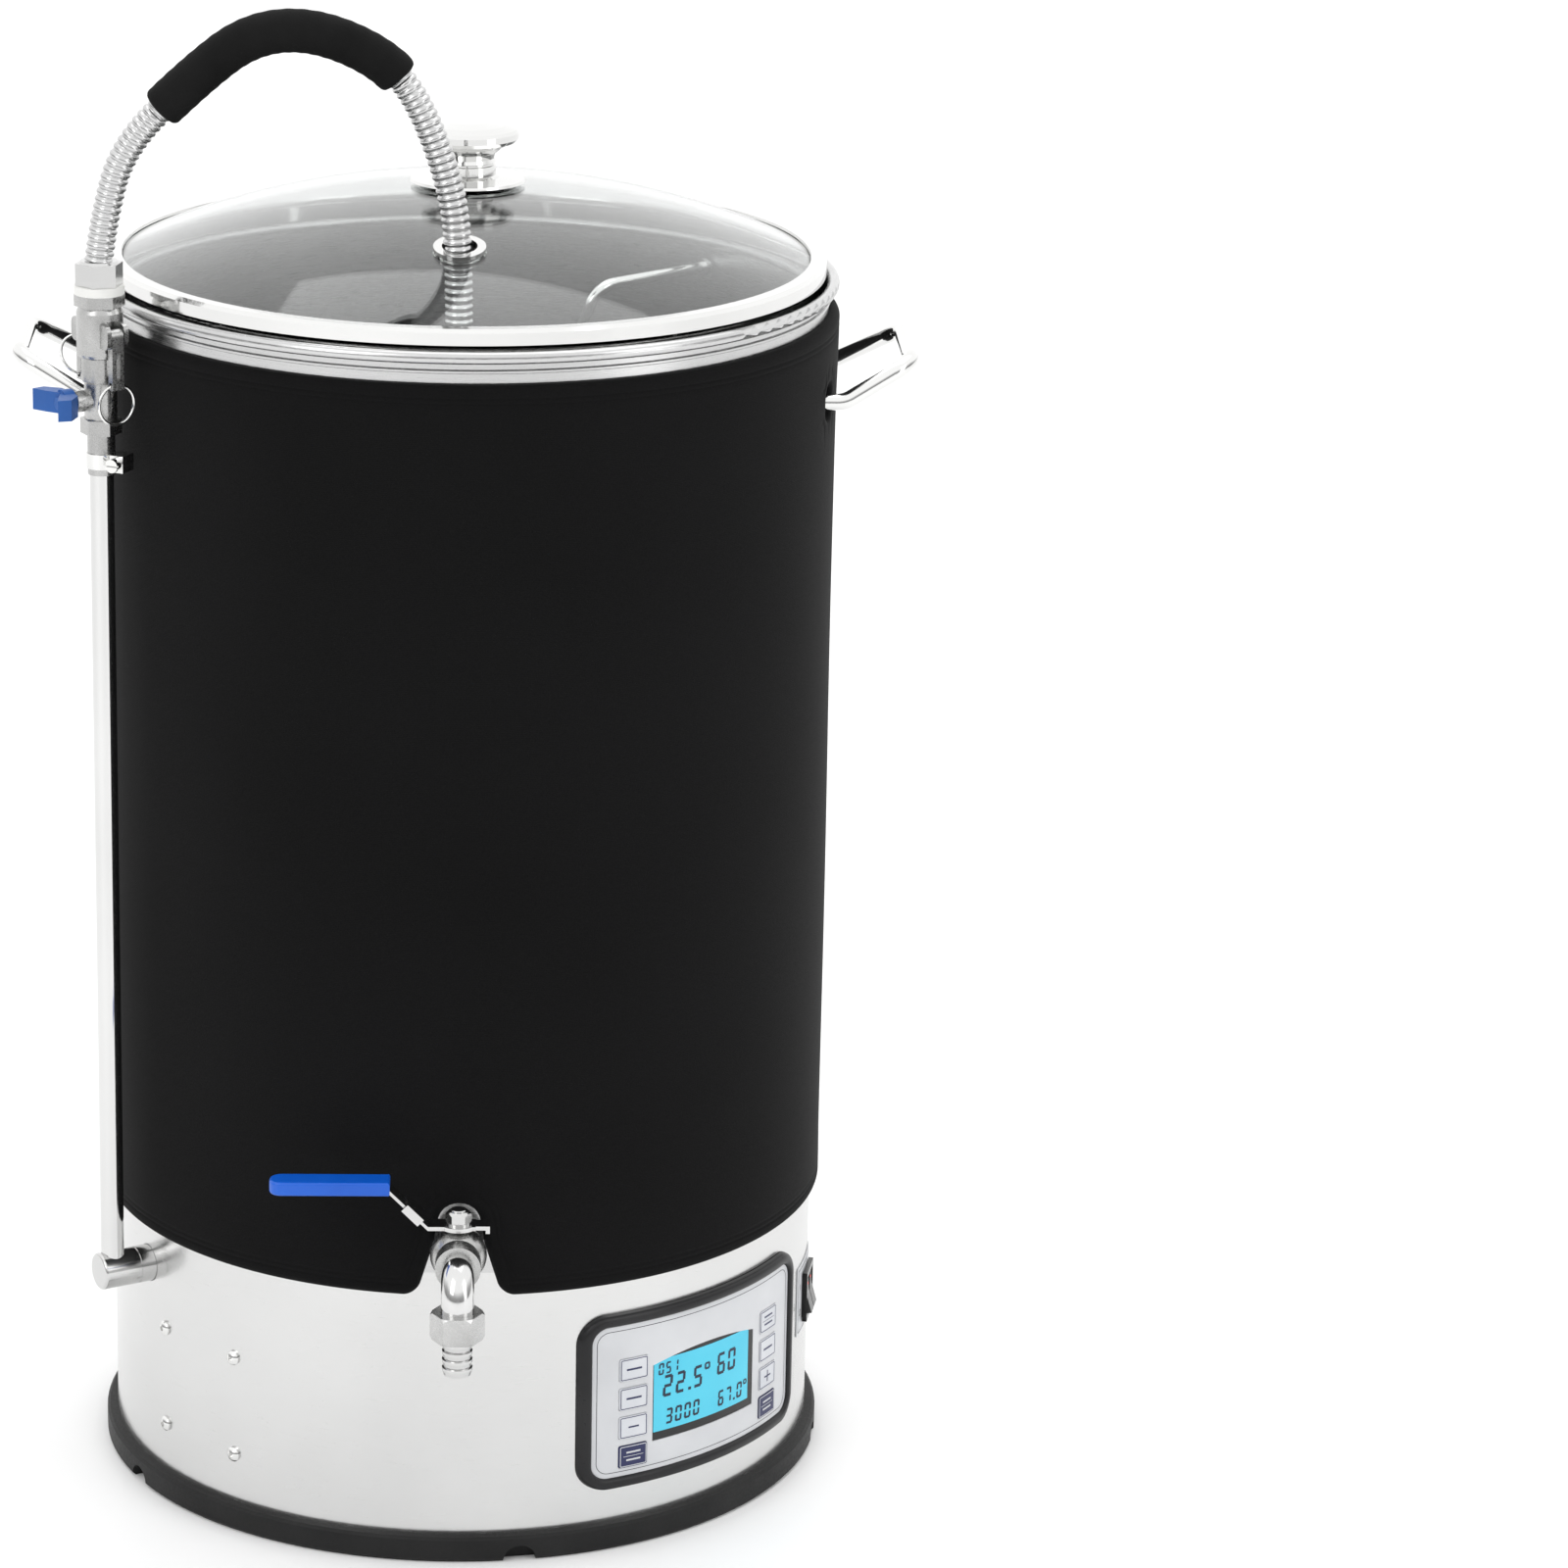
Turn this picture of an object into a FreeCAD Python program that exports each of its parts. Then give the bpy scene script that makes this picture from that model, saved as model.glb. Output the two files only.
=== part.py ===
"""Electric all-in-one brewer: kettle with jacket, heated base, pump loop, tap, lid and malt pipe.

Millimetres. The origin is on the kettle's axis at the floor, +Z is up and the tap faces -Y.
Side features are built at the front and then turned about Z by their azimuth,
which is positive towards +X.
"""

import FreeCAD
import Part
import os
from math import atan2, cos, degrees, pi, radians, sin, sqrt, tan

Vec = FreeCAD.Vector
AXIS_X = Vec(1, 0, 0)
AXIS_Y = Vec(0, 1, 0)
UP = Vec(0, 0, 1)
ORIGIN = Vec(0, 0, 0)

# ---- driving dimensions ----
FIT = 0.3  # clearance between pieces that move past each other
SEAT = 0.1  # gap between wrapped skins

KETTLE_R = 195.0  # outer radius of the vessel and of the base skirt
WALL = 1.0
SEAM_Z = 165.5  # where the skirt meets the vessel
FLOOR_Z = 172.0  # underside of the vessel's bottom plate
FLOOR_T = 2.0
RIM_Z = 668.0  # top of the vessel's rolled rim
RIM_BEAD = 3.3

FOOT_R = 201.0
FOOT_H = 14.4
FOOT_IN = 168.0
FOOT_NOTCHES = 5
NOTCH_AZ = 9.0
NOTCH_R = 9.0
SCREWS = [(azimuth, z) for azimuth in (-56.3, -39.4) for z in (98.7, 42.2)]

JACKET_R = 200.0
JACKET_Z = (153.0, 651.0)
TAP_AZ = -0.6

HANDLE_Z = 608.0  # where the side handles' legs leave the wall
HANDLE_RISE = 20.0
HANDLE_OUT = 238.0
HANDLE_LEG_Y = 50.0
HANDLE_BAR_Y = 40.0
HANDLE_ROD = 4.5
HANDLE_BEND = 14.0

RISER_AZ = -62.0
RISER_RADIUS = 216.5  # distance of the riser's axis from the kettle's axis
RISER_R = 6.35
SPIGOT_Z = 130.6
SPIGOT_R = 10.2
SPIGOT_END = 225.0

VALVE_Z = 601.0  # underside of the recirculation valve's hexagon
VALVE_MID = 619.0
VALVE_R = 8.6
ADAPTER_Z = 628.5
COUPLER_Z = 642.6
COUPLER_TOP = 669.0
HEX2_TOP = 675.5
WASHER_TOP = 680.0
HOSE_Z = 693.0
CAM_TURN = 55.0  # turn of the cam arms' line from the kettle's X axis
CLAMP_TURN = 28.0  # the same for the hose clamp's screw
CAM_PIVOT_Z = 655.0
CAM_END_Z = 627.0
RING_R = 10.6
RING_SWING = 150.0  # how far the left ring is swung out from hanging

HOSE_R = 7.5
GRIP_R = 11.25
# free hose: corner points of its route, in x, y, z
HOSE_ROUTE = [
    (-191.2, -101.6, 693.0),
    (-188.2, -101.7, 716.0),
    (-177.5, -102.2, 754.0),
    (-140.0, -103.9, 791.0),
    (-112.0, -105.2, 813.0),
    (-80.0, -106.6, 816.5),
    (-44.0, -108.2, 802.0),
    (-25.0, -109.1, 780.0),
    (-8.5, -109.8, 736.0),
    (-4.0, -110.0, 700.0),
    (-4.0, -110.0, 622.0),
]
GRIP_RUNS = (2, 6)  # the grip goes from the middle of one run to the middle of another

LID_R = 193.5
LID_Z = 668.3
LID_H = 10.2
GLASS_R = 190.0
GLASS_T = 4.0
DOME_R = 459.6
DOME_C = 256.0  # height of the dome's centre of curvature
GROMMET = (-4.0, -110.0)
GROMMET_R = 13.8
GROMMET_HOLE = 9.3
KNOB_R = 27.5
KNOB_Z = 715.9
KNOB_TOP = 749.0

TAP_Z = 188.0
TAP_STEM = 225.0
TAP_BODY_END = 246.0
TAP_PIPE_R = 8.65
TAP_BORE = 6.5
TAP_BEND = 14.0
BARB_R = 8.0
BARB_END = 135.0
NUT_Z = (155.0, 170.0)
LEVER_Z = 203.6
LEVER_T = 2.2
LEVER_RISE = 22.0
LEVER_W = 12.0

PANEL_AZ = 43.0
PANEL_Z = 84.5
BEZEL = (164.0, 97.0, 12.0)
PLATE = (151.0, 88.0, 9.0)
BEZEL_OUT = 200.4
PLATE_OUT = 197.6
KEY_X = 51.7
KEY_ROWS = (17.8, 0.9, -15.8, -32.7)
KEY = (16.6, 12.6)
KEY_OUT = 198.2
LCD = (-1.5, -2.8, 76.0, 49.0)  # centre and size of the display's black border

SWITCH_AZ = 79.5
SWITCH_Z = 92.0
SWITCH = (25.0, 29.0)
ROCKER_TILT = 9.0

MALT_R = 185.0
MALT_WALL = 0.8
MALT_Z = (190.0, 658.0)
MALT_BEAD = 2.8
MALT_PIVOT_Z = 644.0
MALT_AZ = 133.0  # azimuth of the back pivot
MALT_LEG_AT = 97.0
MALT_LEG = 76.0
MALT_HANG = 20.0  # how far the handle hangs from straight down
MALT_ROD = 3.2

PUMP_AZ = RISER_AZ
PUMP_AT = 110.0
PUMP_Z = (117.0, 144.0)
PUMP_R = 31.0
IMPELLER_R = 23.0


# ---- helpers ----
def cylinder(radius, z0, z1, x=0.0, y=0.0):
    return Part.makeCylinder(radius, z1 - z0, Vec(x, y, z0), UP)


def tube(outer, inner, z0, z1):
    return cylinder(outer, z0, z1).cut(cylinder(inner, z0, z1))


def outward(radius, r0, r1, z, x=0.0):
    """A round bar along -Y, from r0 to r1 away from the kettle's axis."""
    return Part.makeCylinder(radius, r1 - r0, Vec(x, -r0, z), Vec(0, -1, 0))


def box(x0, x1, y0, y1, z0, z1):
    return Part.makeBox(x1 - x0, y1 - y0, z1 - z0, Vec(x0, y0, z0))


def turned(profile):
    """Solid of revolution about Z from a closed outline of (radius, z) points."""
    corners = [Vec(r, 0, z) for r, z in profile]
    face = Part.Face(Part.makePolygon(corners + corners[:1]))
    return face.revolve(ORIGIN, UP, 360)


def hexagon(across_flats, z0, z1):
    radius = across_flats / 2 / cos(radians(30))
    corners = [Vec(radius * cos(radians(60 * k)), radius * sin(radians(60 * k)), z0) for k in range(7)]
    return Part.Face(Part.makePolygon(corners)).extrude(Vec(0, 0, z1 - z0))


def round_edges(shape, radius, wanted):
    edges = [edge for edge in shape.Edges if wanted(edge)]
    return shape.makeFillet(radius, edges)


def rounded_slab(width, height, corner, r0, r1, x=0.0, z=0.0):
    """A block along -Y with rounded corners, seen from the front as a width x height panel."""
    block = box(x - width / 2, x + width / 2, -r1, -r0, z - height / 2, z + height / 2)

    def is_corner(edge):
        span = edge.Vertexes[0].Point.sub(edge.Vertexes[1].Point)
        return abs(span.x) < 1e-6 and abs(span.z) < 1e-6

    return round_edges(block, corner, is_corner)


def curved_slab(width, height, corner, r0, r1, x=0.0, z=0.0):
    """The same panel bent round the kettle, with faces at radius r0 and r1."""
    block = rounded_slab(width, height, corner, r0 * 0.6, r1 + 5, x, z)
    return block.common(tube(r1, r0, z - height, z + height))


def at_azimuth(shape, azimuth):
    turned_shape = shape.copy()
    turned_shape.rotate(ORIGIN, UP, azimuth)
    return turned_shape


def moved(shape, x=0.0, y=0.0, z=0.0):
    shifted = shape.copy()
    shifted.translate(Vec(x, y, z))
    return shifted


def toward(start, end, length):
    return start + (end - start).normalize() * length


def route_pieces(route):
    """Lines and tangent arcs of a route, as one list per run, each run starting at its middle."""
    points = [Vec(*p) if not isinstance(p, FreeCAD.Vector) else p for p in route]
    middles = [(a + b) * 0.5 for a, b in zip(points, points[1:])]
    spans = []
    for k in range(1, len(points) - 1):
        before = points[k - 1]
        corner = points[k]
        after = points[k + 1]
        reach = 0.45 * min((corner - before).Length, (after - corner).Length)
        start = toward(corner, before, reach)
        end = toward(corner, after, reach)
        half = (corner - before).getAngle(after - corner) / 2
        radius = reach / tan(half)
        inward = ((start + end) * 0.5 - corner).normalize()
        apex = corner + inward * (radius / cos(half) - radius)
        spans.append([
            Part.LineSegment(middles[k - 1], start).toShape(),
            Part.Arc(start, apex, end).toShape(),
            Part.LineSegment(end, middles[k]).toShape(),
        ])
    first = Part.LineSegment(points[0], middles[0]).toShape()
    last = Part.LineSegment(middles[-1], points[-1]).toShape()
    return first, spans, last


def bent_bar(edges, radius, hole=0.0):
    """A round bar, or a tube, along joined lines and arcs."""
    wire = Part.Wire(Part.sortEdges(edges)[0])
    start = wire.OrderedVertexes[0].Point
    along = wire.OrderedEdges[0].tangentAt(wire.OrderedEdges[0].FirstParameter)
    bars = []
    for size in (radius, hole):
        if size > 0:
            ring = Part.Wire(Part.makeCircle(size, start, along))
            bars.append(wire.makePipeShell([ring], True, False, 1))
    return bars[0] if hole == 0 else bars[0].cut(bars[1])


def fillet_route(points, bend):
    """Lines and arcs through corner points, every corner with the same bend radius."""
    corners = [Vec(*p) for p in points]
    edges = []
    here = corners[0]
    for before, corner, after in zip(corners, corners[1:], corners[2:]):
        half = (corner - before).getAngle(after - corner) / 2
        reach = bend * tan(half)
        start = toward(corner, before, reach)
        end = toward(corner, after, reach)
        inward = ((start + end) * 0.5 - corner).normalize()
        apex = corner + inward * (bend / cos(half) - bend)
        edges.append(Part.LineSegment(here, start).toShape())
        edges.append(Part.Arc(start, apex, end).toShape())
        here = end
    edges.append(Part.LineSegment(here, corners[-1]).toShape())
    return edges


def dome_z(radius, thickness=0.0):
    return DOME_C + sqrt((DOME_R - thickness) ** 2 - radius**2)


# ---- base ----
def foot_ring():
    ring = turned([(FOOT_IN, 0), (FOOT_R - 2, 0), (FOOT_R, 2), (FOOT_R, FOOT_H - 1.5),
                   (FOOT_R - 1.5, FOOT_H), (FOOT_IN, FOOT_H)])
    for k in range(FOOT_NOTCHES):
        notch = outward(NOTCH_R, FOOT_R - 7, FOOT_R + 5, 0)
        ring = ring.cut(at_azimuth(notch, NOTCH_AZ + k * 360 / FOOT_NOTCHES))
    return ring


def base_pan():
    pan = cylinder(KETTLE_R - WALL - FIT, FOOT_H, FOOT_H + 1.2)
    for k in range(5):
        for row in range(6):
            slot = box(-22, 22, -60 - row * 12, -56 - row * 12, FOOT_H, FOOT_H + 1.2)
            pan = pan.cut(at_azimuth(slot, 36 + k * 72))
    return pan


def base_skirt():
    skirt = tube(KETTLE_R, KETTLE_R - WALL, FOOT_H, SEAM_Z)
    panel = rounded_slab(132, 82, 6, 150, 210, 0, PANEL_Z)
    switch = box(-11.2, 11.2, -210, -150, SWITCH_Z - 13, SWITCH_Z + 13)
    inlet = box(-25, 25, -210, -150, 46, 76)
    skirt = skirt.cut(at_azimuth(panel, PANEL_AZ))
    skirt = skirt.cut(at_azimuth(switch, SWITCH_AZ))
    skirt = skirt.cut(at_azimuth(inlet, 180))
    skirt = skirt.cut(at_azimuth(outward(SPIGOT_R + FIT, 150, 210, SPIGOT_Z), RISER_AZ))
    for azimuth, z in SCREWS:
        skirt = skirt.cut(at_azimuth(outward(2.2, 180, 210, z), azimuth))
    return skirt




def skirt_screws():
    screws = []
    for azimuth, z in SCREWS:
        dome = Part.makeSphere(5.4, Vec(0, -KETTLE_R + 2.4, z))
        head = dome.common(outward(4.1, KETTLE_R + 0.05, KETTLE_R + 4, z))
        screw = head.fuse(outward(2.0, KETTLE_R - 9, KETTLE_R + 0.5, z))
        socket = outward(1.4, KETTLE_R + 1.4, KETTLE_R + 6, z)
        screws.append(at_azimuth(screw.cut(socket), azimuth))
    return Part.makeCompound(screws)


def heat_plate():
    plate = cylinder(82, FLOOR_Z - 7, FLOOR_Z)
    return plate.cut(cylinder(8, FLOOR_Z - 7, FLOOR_Z))


def heating_element():
    coil = Part.makeTorus(62, 4, Vec(0, 0, FLOOR_Z - 11), UP)
    for x in (-9, 9):
        coil = coil.fuse(cylinder(4, FLOOR_Z - 38, FLOOR_Z - 11, x, 61.35))
    return coil


def power_inlet():
    flange = rounded_slab(58, 37, 5, KETTLE_R + 0.6, KETTLE_R + 3.6, 0, 61)
    body = box(-24.5, 24.5, -KETTLE_R - 0.6, -162, 46.5, 75.5)
    inlet = flange.fuse(body).removeSplitter()
    inlet = inlet.cut(box(-15, 15, -KETTLE_R - 5, -174, 52, 70))
    for x in (-9, 0, 9):
        inlet = inlet.fuse(box(x - 1, x + 1, -KETTLE_R + 1, -173, 57.5, 64.5))
    return at_azimuth(inlet, 180)


# ---- pump loop inside the base ----
def pump_head():
    head = cylinder(PUMP_R, PUMP_Z[0], PUMP_Z[1], 0, -PUMP_AT)
    head = head.fuse(outward(9, PUMP_AT + 20, PUMP_AT + 42, SPIGOT_Z))
    head = head.fuse(cylinder(9.5, PUMP_Z[1], PUMP_Z[1] + 8, 0, -PUMP_AT))
    cavity = cylinder(IMPELLER_R + 2, PUMP_Z[0] + 4, PUMP_Z[1] - 4, 0, -PUMP_AT)
    head = head.cut(cavity)
    head = head.cut(outward(6.0, PUMP_AT, PUMP_AT + 50, SPIGOT_Z))
    head = head.cut(cylinder(6.0, PUMP_Z[1] - 5, PUMP_Z[1] + 8, 0, -PUMP_AT))
    head = head.cut(cylinder(3.0 + FIT, PUMP_Z[0], PUMP_Z[0] + 4, 0, -PUMP_AT))
    return at_azimuth(head, PUMP_AZ)


def pump_motor():
    motor = cylinder(26, 34, PUMP_Z[0], 0, -PUMP_AT)
    foot = box(-34, 34, -PUMP_AT - 30, -PUMP_AT + 30, FOOT_H + 1.2, 20)
    for x in (-27, 27):
        foot = foot.fuse(box(x - 2, x + 2, -PUMP_AT - 24, -PUMP_AT + 24, 19, 60))
    motor = motor.fuse(foot).fuse(cylinder(14, 19, 35, 0, -PUMP_AT))
    motor = motor.cut(cylinder(3.0 + FIT, PUMP_Z[0] - 20, PUMP_Z[0], 0, -PUMP_AT))
    return at_azimuth(motor, PUMP_AZ)


def pump_impeller():
    hub = cylinder(7, PUMP_Z[0] + 6, PUMP_Z[1] - 6, 0, -PUMP_AT)
    wheel = hub.fuse(cylinder(IMPELLER_R, PUMP_Z[0] + 5, PUMP_Z[0] + 7, 0, -PUMP_AT))
    for k in range(6):
        vane = box(5, IMPELLER_R - 0.5, -PUMP_AT - 0.8, -PUMP_AT + 0.8, PUMP_Z[0] + 6, PUMP_Z[1] - 7)
        vane.rotate(Vec(0, -PUMP_AT, 0), UP, 60 * k)
        wheel = wheel.fuse(vane)
    wheel = wheel.fuse(cylinder(3.0, PUMP_Z[0] - 15, PUMP_Z[0] + 7, 0, -PUMP_AT))
    return at_azimuth(wheel, PUMP_AZ)


def pump_inlet_tube():
    pipe = cylinder(8.5, PUMP_Z[1] + 8, FLOOR_Z, 0, -PUMP_AT)
    return at_azimuth(pipe.cut(cylinder(6.0, PUMP_Z[1] + 8, FLOOR_Z, 0, -PUMP_AT)), PUMP_AZ)


def outlet_spigot():
    start = PUMP_AT + 42
    spigot = outward(SPIGOT_R, KETTLE_R - 3, SPIGOT_END, SPIGOT_Z)
    spigot = spigot.fuse(outward(8.5, start, KETTLE_R - 2, SPIGOT_Z))
    spigot = round_edges(spigot, 1.5, lambda edge: abs(edge.CenterOfMass.y + SPIGOT_END) < 1e-3)
    spigot = spigot.cut(outward(6.0, start, SPIGOT_END - 3, SPIGOT_Z))
    spigot = spigot.cut(cylinder(5.3, SPIGOT_Z, SPIGOT_Z + 20, 0, -RISER_RADIUS))
    groove = outward(SPIGOT_R + 1, 203.0, 203.8, SPIGOT_Z)
    groove = groove.cut(outward(SPIGOT_R - 0.5, 203.0, 203.8, SPIGOT_Z))
    return at_azimuth(spigot.cut(groove), RISER_AZ)


# ---- riser and recirculation valve, built on the Z axis and moved out ----
def at_riser(shape):
    return at_azimuth(moved(shape, 0, -RISER_RADIUS, 0), RISER_AZ)


def riser_pipe():
    pipe = tube(RISER_R, RISER_R - 1.0, SPIGOT_Z, VALVE_Z - 1)
    saddle = Part.makeCylinder(SPIGOT_R + 0.05, 60, Vec(0, 30, SPIGOT_Z), Vec(0, -1, 0))
    return at_riser(pipe.cut(saddle))


def riser_clamp():
    band = tube(8.1, 7.35, 582.5, 590.5)
    housing = box(8.5, 16.5, -6, 5, 582.0, 591.0)
    worm = Part.makeCylinder(3.6, 17, Vec(12.5, -11, 586.5), AXIS_Y)
    slot = box(8, 17, -12, -9.8, 586.0, 587.0)
    lug = box(7.4, 9.5, -4, 4, 582.8, 590.2).cut(cylinder(7.35, 580, 592))
    clamp = band.fuse(lug).fuse(housing).fuse(worm.cut(slot)).removeSplitter()
    clamp.rotate(ORIGIN, UP, -RISER_AZ - CLAMP_TURN)
    return at_riser(clamp)


def recirc_valve_body():
    tail = cylinder(7.3, 579.0, VALVE_Z)
    body = cylinder(VALVE_R, VALVE_Z + 8, ADAPTER_Z)
    valve = tail.fuse(hexagon(19, VALVE_Z, VALVE_Z + 8)).fuse(body)
    boss = Part.makeCylinder(5.6, 15, Vec(0, 0, VALVE_MID), Vec(0, -1, 0))
    valve = valve.fuse(boss)
    valve = valve.cut(cylinder(RISER_R + 0.02, 579.0, VALVE_Z - 1))
    valve = valve.cut(cylinder(4.5, 590.0, ADAPTER_Z))
    valve = valve.cut(Part.makeSphere(6.6, Vec(0, 0, VALVE_MID)))
    stem_hole = Part.makeCylinder(2.5 + FIT, 20, Vec(0, 0, VALVE_MID), Vec(0, -1, 0))
    return at_riser(valve.cut(stem_hole))


def recirc_valve_handle():
    """Blue butterfly with its screw, stem and ball, turning about the line out from the kettle."""
    ball = Part.makeSphere(6.2, Vec(0, 0, VALVE_MID))
    ball = ball.cut(Part.makeCylinder(4.4, 20, Vec(-10, 0, VALVE_MID), AXIS_X))
    stem = Part.makeCylinder(2.5, 14.5, Vec(0, -4.8, VALVE_MID), Vec(0, -1, 0))
    hub = Part.makeCylinder(7.2, 6, Vec(0, -16.5, VALVE_MID), Vec(0, -1, 0))
    wings = hub
    for side in (-1, 1):
        outline = [(0, -16.2), (10, -17.5), (17.5, -24.5), (16.0, -31.5), (8, -27.5), (0, -22.5)]
        corners = [Vec(side * x, y, VALVE_MID - 5.6) for x, y in outline]
        wing = Part.Face(Part.makePolygon(corners + corners[:1])).extrude(Vec(0, 0, 11.2))
        wings = wings.fuse(wing)
    wings = wings.fuse(stem).fuse(ball)
    screw = Part.makeCylinder(3.4, 3, Vec(0, -22.0, VALVE_MID), Vec(0, -1, 0))
    return at_riser(wings.fuse(screw).removeSplitter())


def camlock_adapter():
    cup = turned([(0, ADAPTER_Z), (9.2, ADAPTER_Z), (9.9, ADAPTER_Z + 1), (9.9, COUPLER_Z - 0.8),
                  (9.4, COUPLER_Z - 0.1), (0, COUPLER_Z - 0.1)])
    plug = turned([(0, COUPLER_Z - 1), (7.7, COUPLER_Z - 1), (7.7, 649), (6.3, 651), (6.3, 653), (7.7, 655),
                   (7.7, 659), (7.0, 660), (0, 660)])
    return at_riser(cup.fuse(plug).cut(cylinder(4.5, ADAPTER_Z, 660)))


# ---- hose end: coupler, washer and nut ----
def camlock_coupler():
    body = turned([(8.0, COUPLER_Z), (11.6, COUPLER_Z), (12.2, COUPLER_Z + 1.5), (12.2, COUPLER_TOP - 3),
                   (10.8, COUPLER_TOP), (5.0, COUPLER_TOP), (5.0, 662), (8.0, 662)])
    ears = None
    for side in (-1, 1):
        for edge in (-6.4, 3.9):
            ear = box(side * 13.5 - 4.5, side * 13.5 + 4.5, edge, edge + 2.5, 648.5, 661.5)
            ear = round_edges(ear, 4.0, lambda e, s=side: outer_edge_along_y(e, s))
            ears = ear if ears is None else ears.fuse(ear)
    body = body.fuse(ears.cut(cylinder(8.0, 640, 662)))
    for side in (-1, 1):
        window = box(side * 12.5 - 5.0, side * 12.5 + 5.0, -3.9, 3.9, 646.0, 662.5)
        body = body.cut(window.cut(cylinder(8.6, 640, 664)))
        pin = Part.makeCylinder(1.5, 12.8, Vec(side * 13.6, -6.4, CAM_PIVOT_Z), AXIS_Y)
        body = body.fuse(pin)
    hexagonal = hexagon(23, COUPLER_TOP, HEX2_TOP).cut(cylinder(5.0, COUPLER_TOP, HEX2_TOP))
    body = body.fuse(hexagonal)
    body.rotate(ORIGIN, UP, -RISER_AZ - CAM_TURN)
    return at_riser(body)


def outer_edge_along_y(edge, side):
    """True for the ear's two edges that run along Y on its outer side."""
    a = edge.Vertexes[0].Point
    b = edge.Vertexes[-1].Point
    along_y = abs(a.x - b.x) < 1e-6 and abs(a.z - b.z) < 1e-6
    return along_y and a.x * side > 13.5


def coupler_washer():
    return at_riser(tube(13.2, 5.0, HEX2_TOP, WASHER_TOP))


def hose_nut():
    nut = hexagon(22, WASHER_TOP, HOSE_Z - 1.2)
    crown = turned([(0, HOSE_Z - 1.2), (10.6, HOSE_Z - 1.2), (9.6, HOSE_Z), (0, HOSE_Z)])
    nut = nut.fuse(crown).cut(cylinder(5.0, WASHER_TOP, HOSE_Z))
    nut.rotate(ORIGIN, UP, 18)
    return at_riser(nut)


def cam_arm(side):
    """Cam lever of the coupler: an eye round the pin and a slotted arm that hangs down."""
    pivot = side * 13.6
    eye = Part.makeCylinder(4.2, 7.0, Vec(pivot, -3.5, CAM_PIVOT_Z), AXIS_Y)
    arm = box(pivot + side * 2.1 - 2.1, pivot + side * 2.1 + 2.1, -3.5, 3.5, CAM_END_Z, CAM_PIVOT_Z)
    slot = box(pivot - 9, pivot + 9, -1.4, 1.4, CAM_END_Z + 5.5, CAM_PIVOT_Z - 8)
    ring_hole = Part.makeCylinder(1.4, 12, Vec(pivot, -6, CAM_END_Z + 2.6), AXIS_Y)
    ring_hole = moved(ring_hole, side * 2.1)
    pin_hole = Part.makeCylinder(1.5 + FIT, 8, Vec(pivot, -4, CAM_PIVOT_Z), AXIS_Y)
    lever = eye.fuse(arm).cut(slot).cut(ring_hole).cut(pin_hole)
    lever.rotate(ORIGIN, UP, -RISER_AZ - CAM_TURN)
    return at_riser(lever)


def pull_ring(side, swing):
    """Wire ring through the end of a cam arm, swung out from hanging by the given angle."""
    hole = Vec(side * 15.7, 0, CAM_END_Z + 2.6)
    ring = Part.makeTorus(RING_R, 0.8, hole + Vec(0, 0, -RING_R), AXIS_X)
    ring.rotate(hole, AXIS_Y, -side * swing)
    ring.rotate(ORIGIN, UP, -RISER_AZ - CAM_TURN)
    return at_riser(ring)


def recirc_hose():
    first, spans, last = route_pieces(HOSE_ROUTE)
    edges = [first] + [edge for span in spans for edge in span] + [last]
    hose = bent_bar(edges, HOSE_R)
    length = sum(edge.Length for edge in edges)
    print("hose length %.1f, volume / section x length = %.5f"
          % (length, hose.Volume / (pi * HOSE_R**2 * length)))
    for span in spans:
        radius = span[1].Curve.Radius
        print("  bend radius %.0f, turn %.0f deg" % (radius, degrees(span[1].Length / radius)))
    return hose


def hose_grip():
    spans = route_pieces(HOSE_ROUTE)[1]
    edges = [edge for span in spans[GRIP_RUNS[0]:GRIP_RUNS[1]] for edge in span]
    return bent_bar(edges, GRIP_R, HOSE_R + 0.05)


# ---- vessel and jacket ----
def kettle_vessel():
    inner = KETTLE_R - WALL
    vessel = tube(KETTLE_R, inner, SEAM_Z, RIM_Z - RIM_BEAD)
    vessel = vessel.fuse(cylinder(KETTLE_R, FLOOR_Z, FLOOR_Z + FLOOR_T))
    bead = Part.makeTorus(inner + RIM_BEAD, RIM_BEAD, Vec(0, 0, RIM_Z - RIM_BEAD), UP)
    step_r = KETTLE_R + 1.2
    step = turned([(inner + 0.5, 655.5), (step_r, 656.5), (step_r, 657.5), (inner + 0.5, 658.5)])
    vessel = vessel.fuse(bead.cut(cylinder(inner, 600, 700))).fuse(step)
    vessel = vessel.cut(at_azimuth(outward(10.7, 150, 210, TAP_Z), TAP_AZ))
    pump_hole = cylinder(6.0, FLOOR_Z, FLOOR_Z + FLOOR_T, 0, -PUMP_AT)
    return vessel.cut(at_azimuth(pump_hole, PUMP_AZ))


def jacket_notch():
    """Cut-out over the tap, wide at the hem and round at the top."""
    corners = [Vec(-26, -210, 140), Vec(-24, -210, 150), Vec(-12.5, -210, 186), Vec(-11.5, -210, 194)]
    left = Part.makePolygon(corners)
    arch = Part.Arc(Vec(-11.5, -210, 194), Vec(0, -210, 205.5), Vec(11.5, -210, 194)).toShape()
    right = Part.makePolygon([Vec(-p.x, p.y, p.z) for p in reversed(corners)])
    close = Part.LineSegment(Vec(26, -210, 140), Vec(-26, -210, 140)).toShape()
    outline = Part.Wire(Part.sortEdges(left.Edges + [arch] + right.Edges + [close])[0])
    return Part.Face(outline).extrude(Vec(0, 60, 0))


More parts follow.
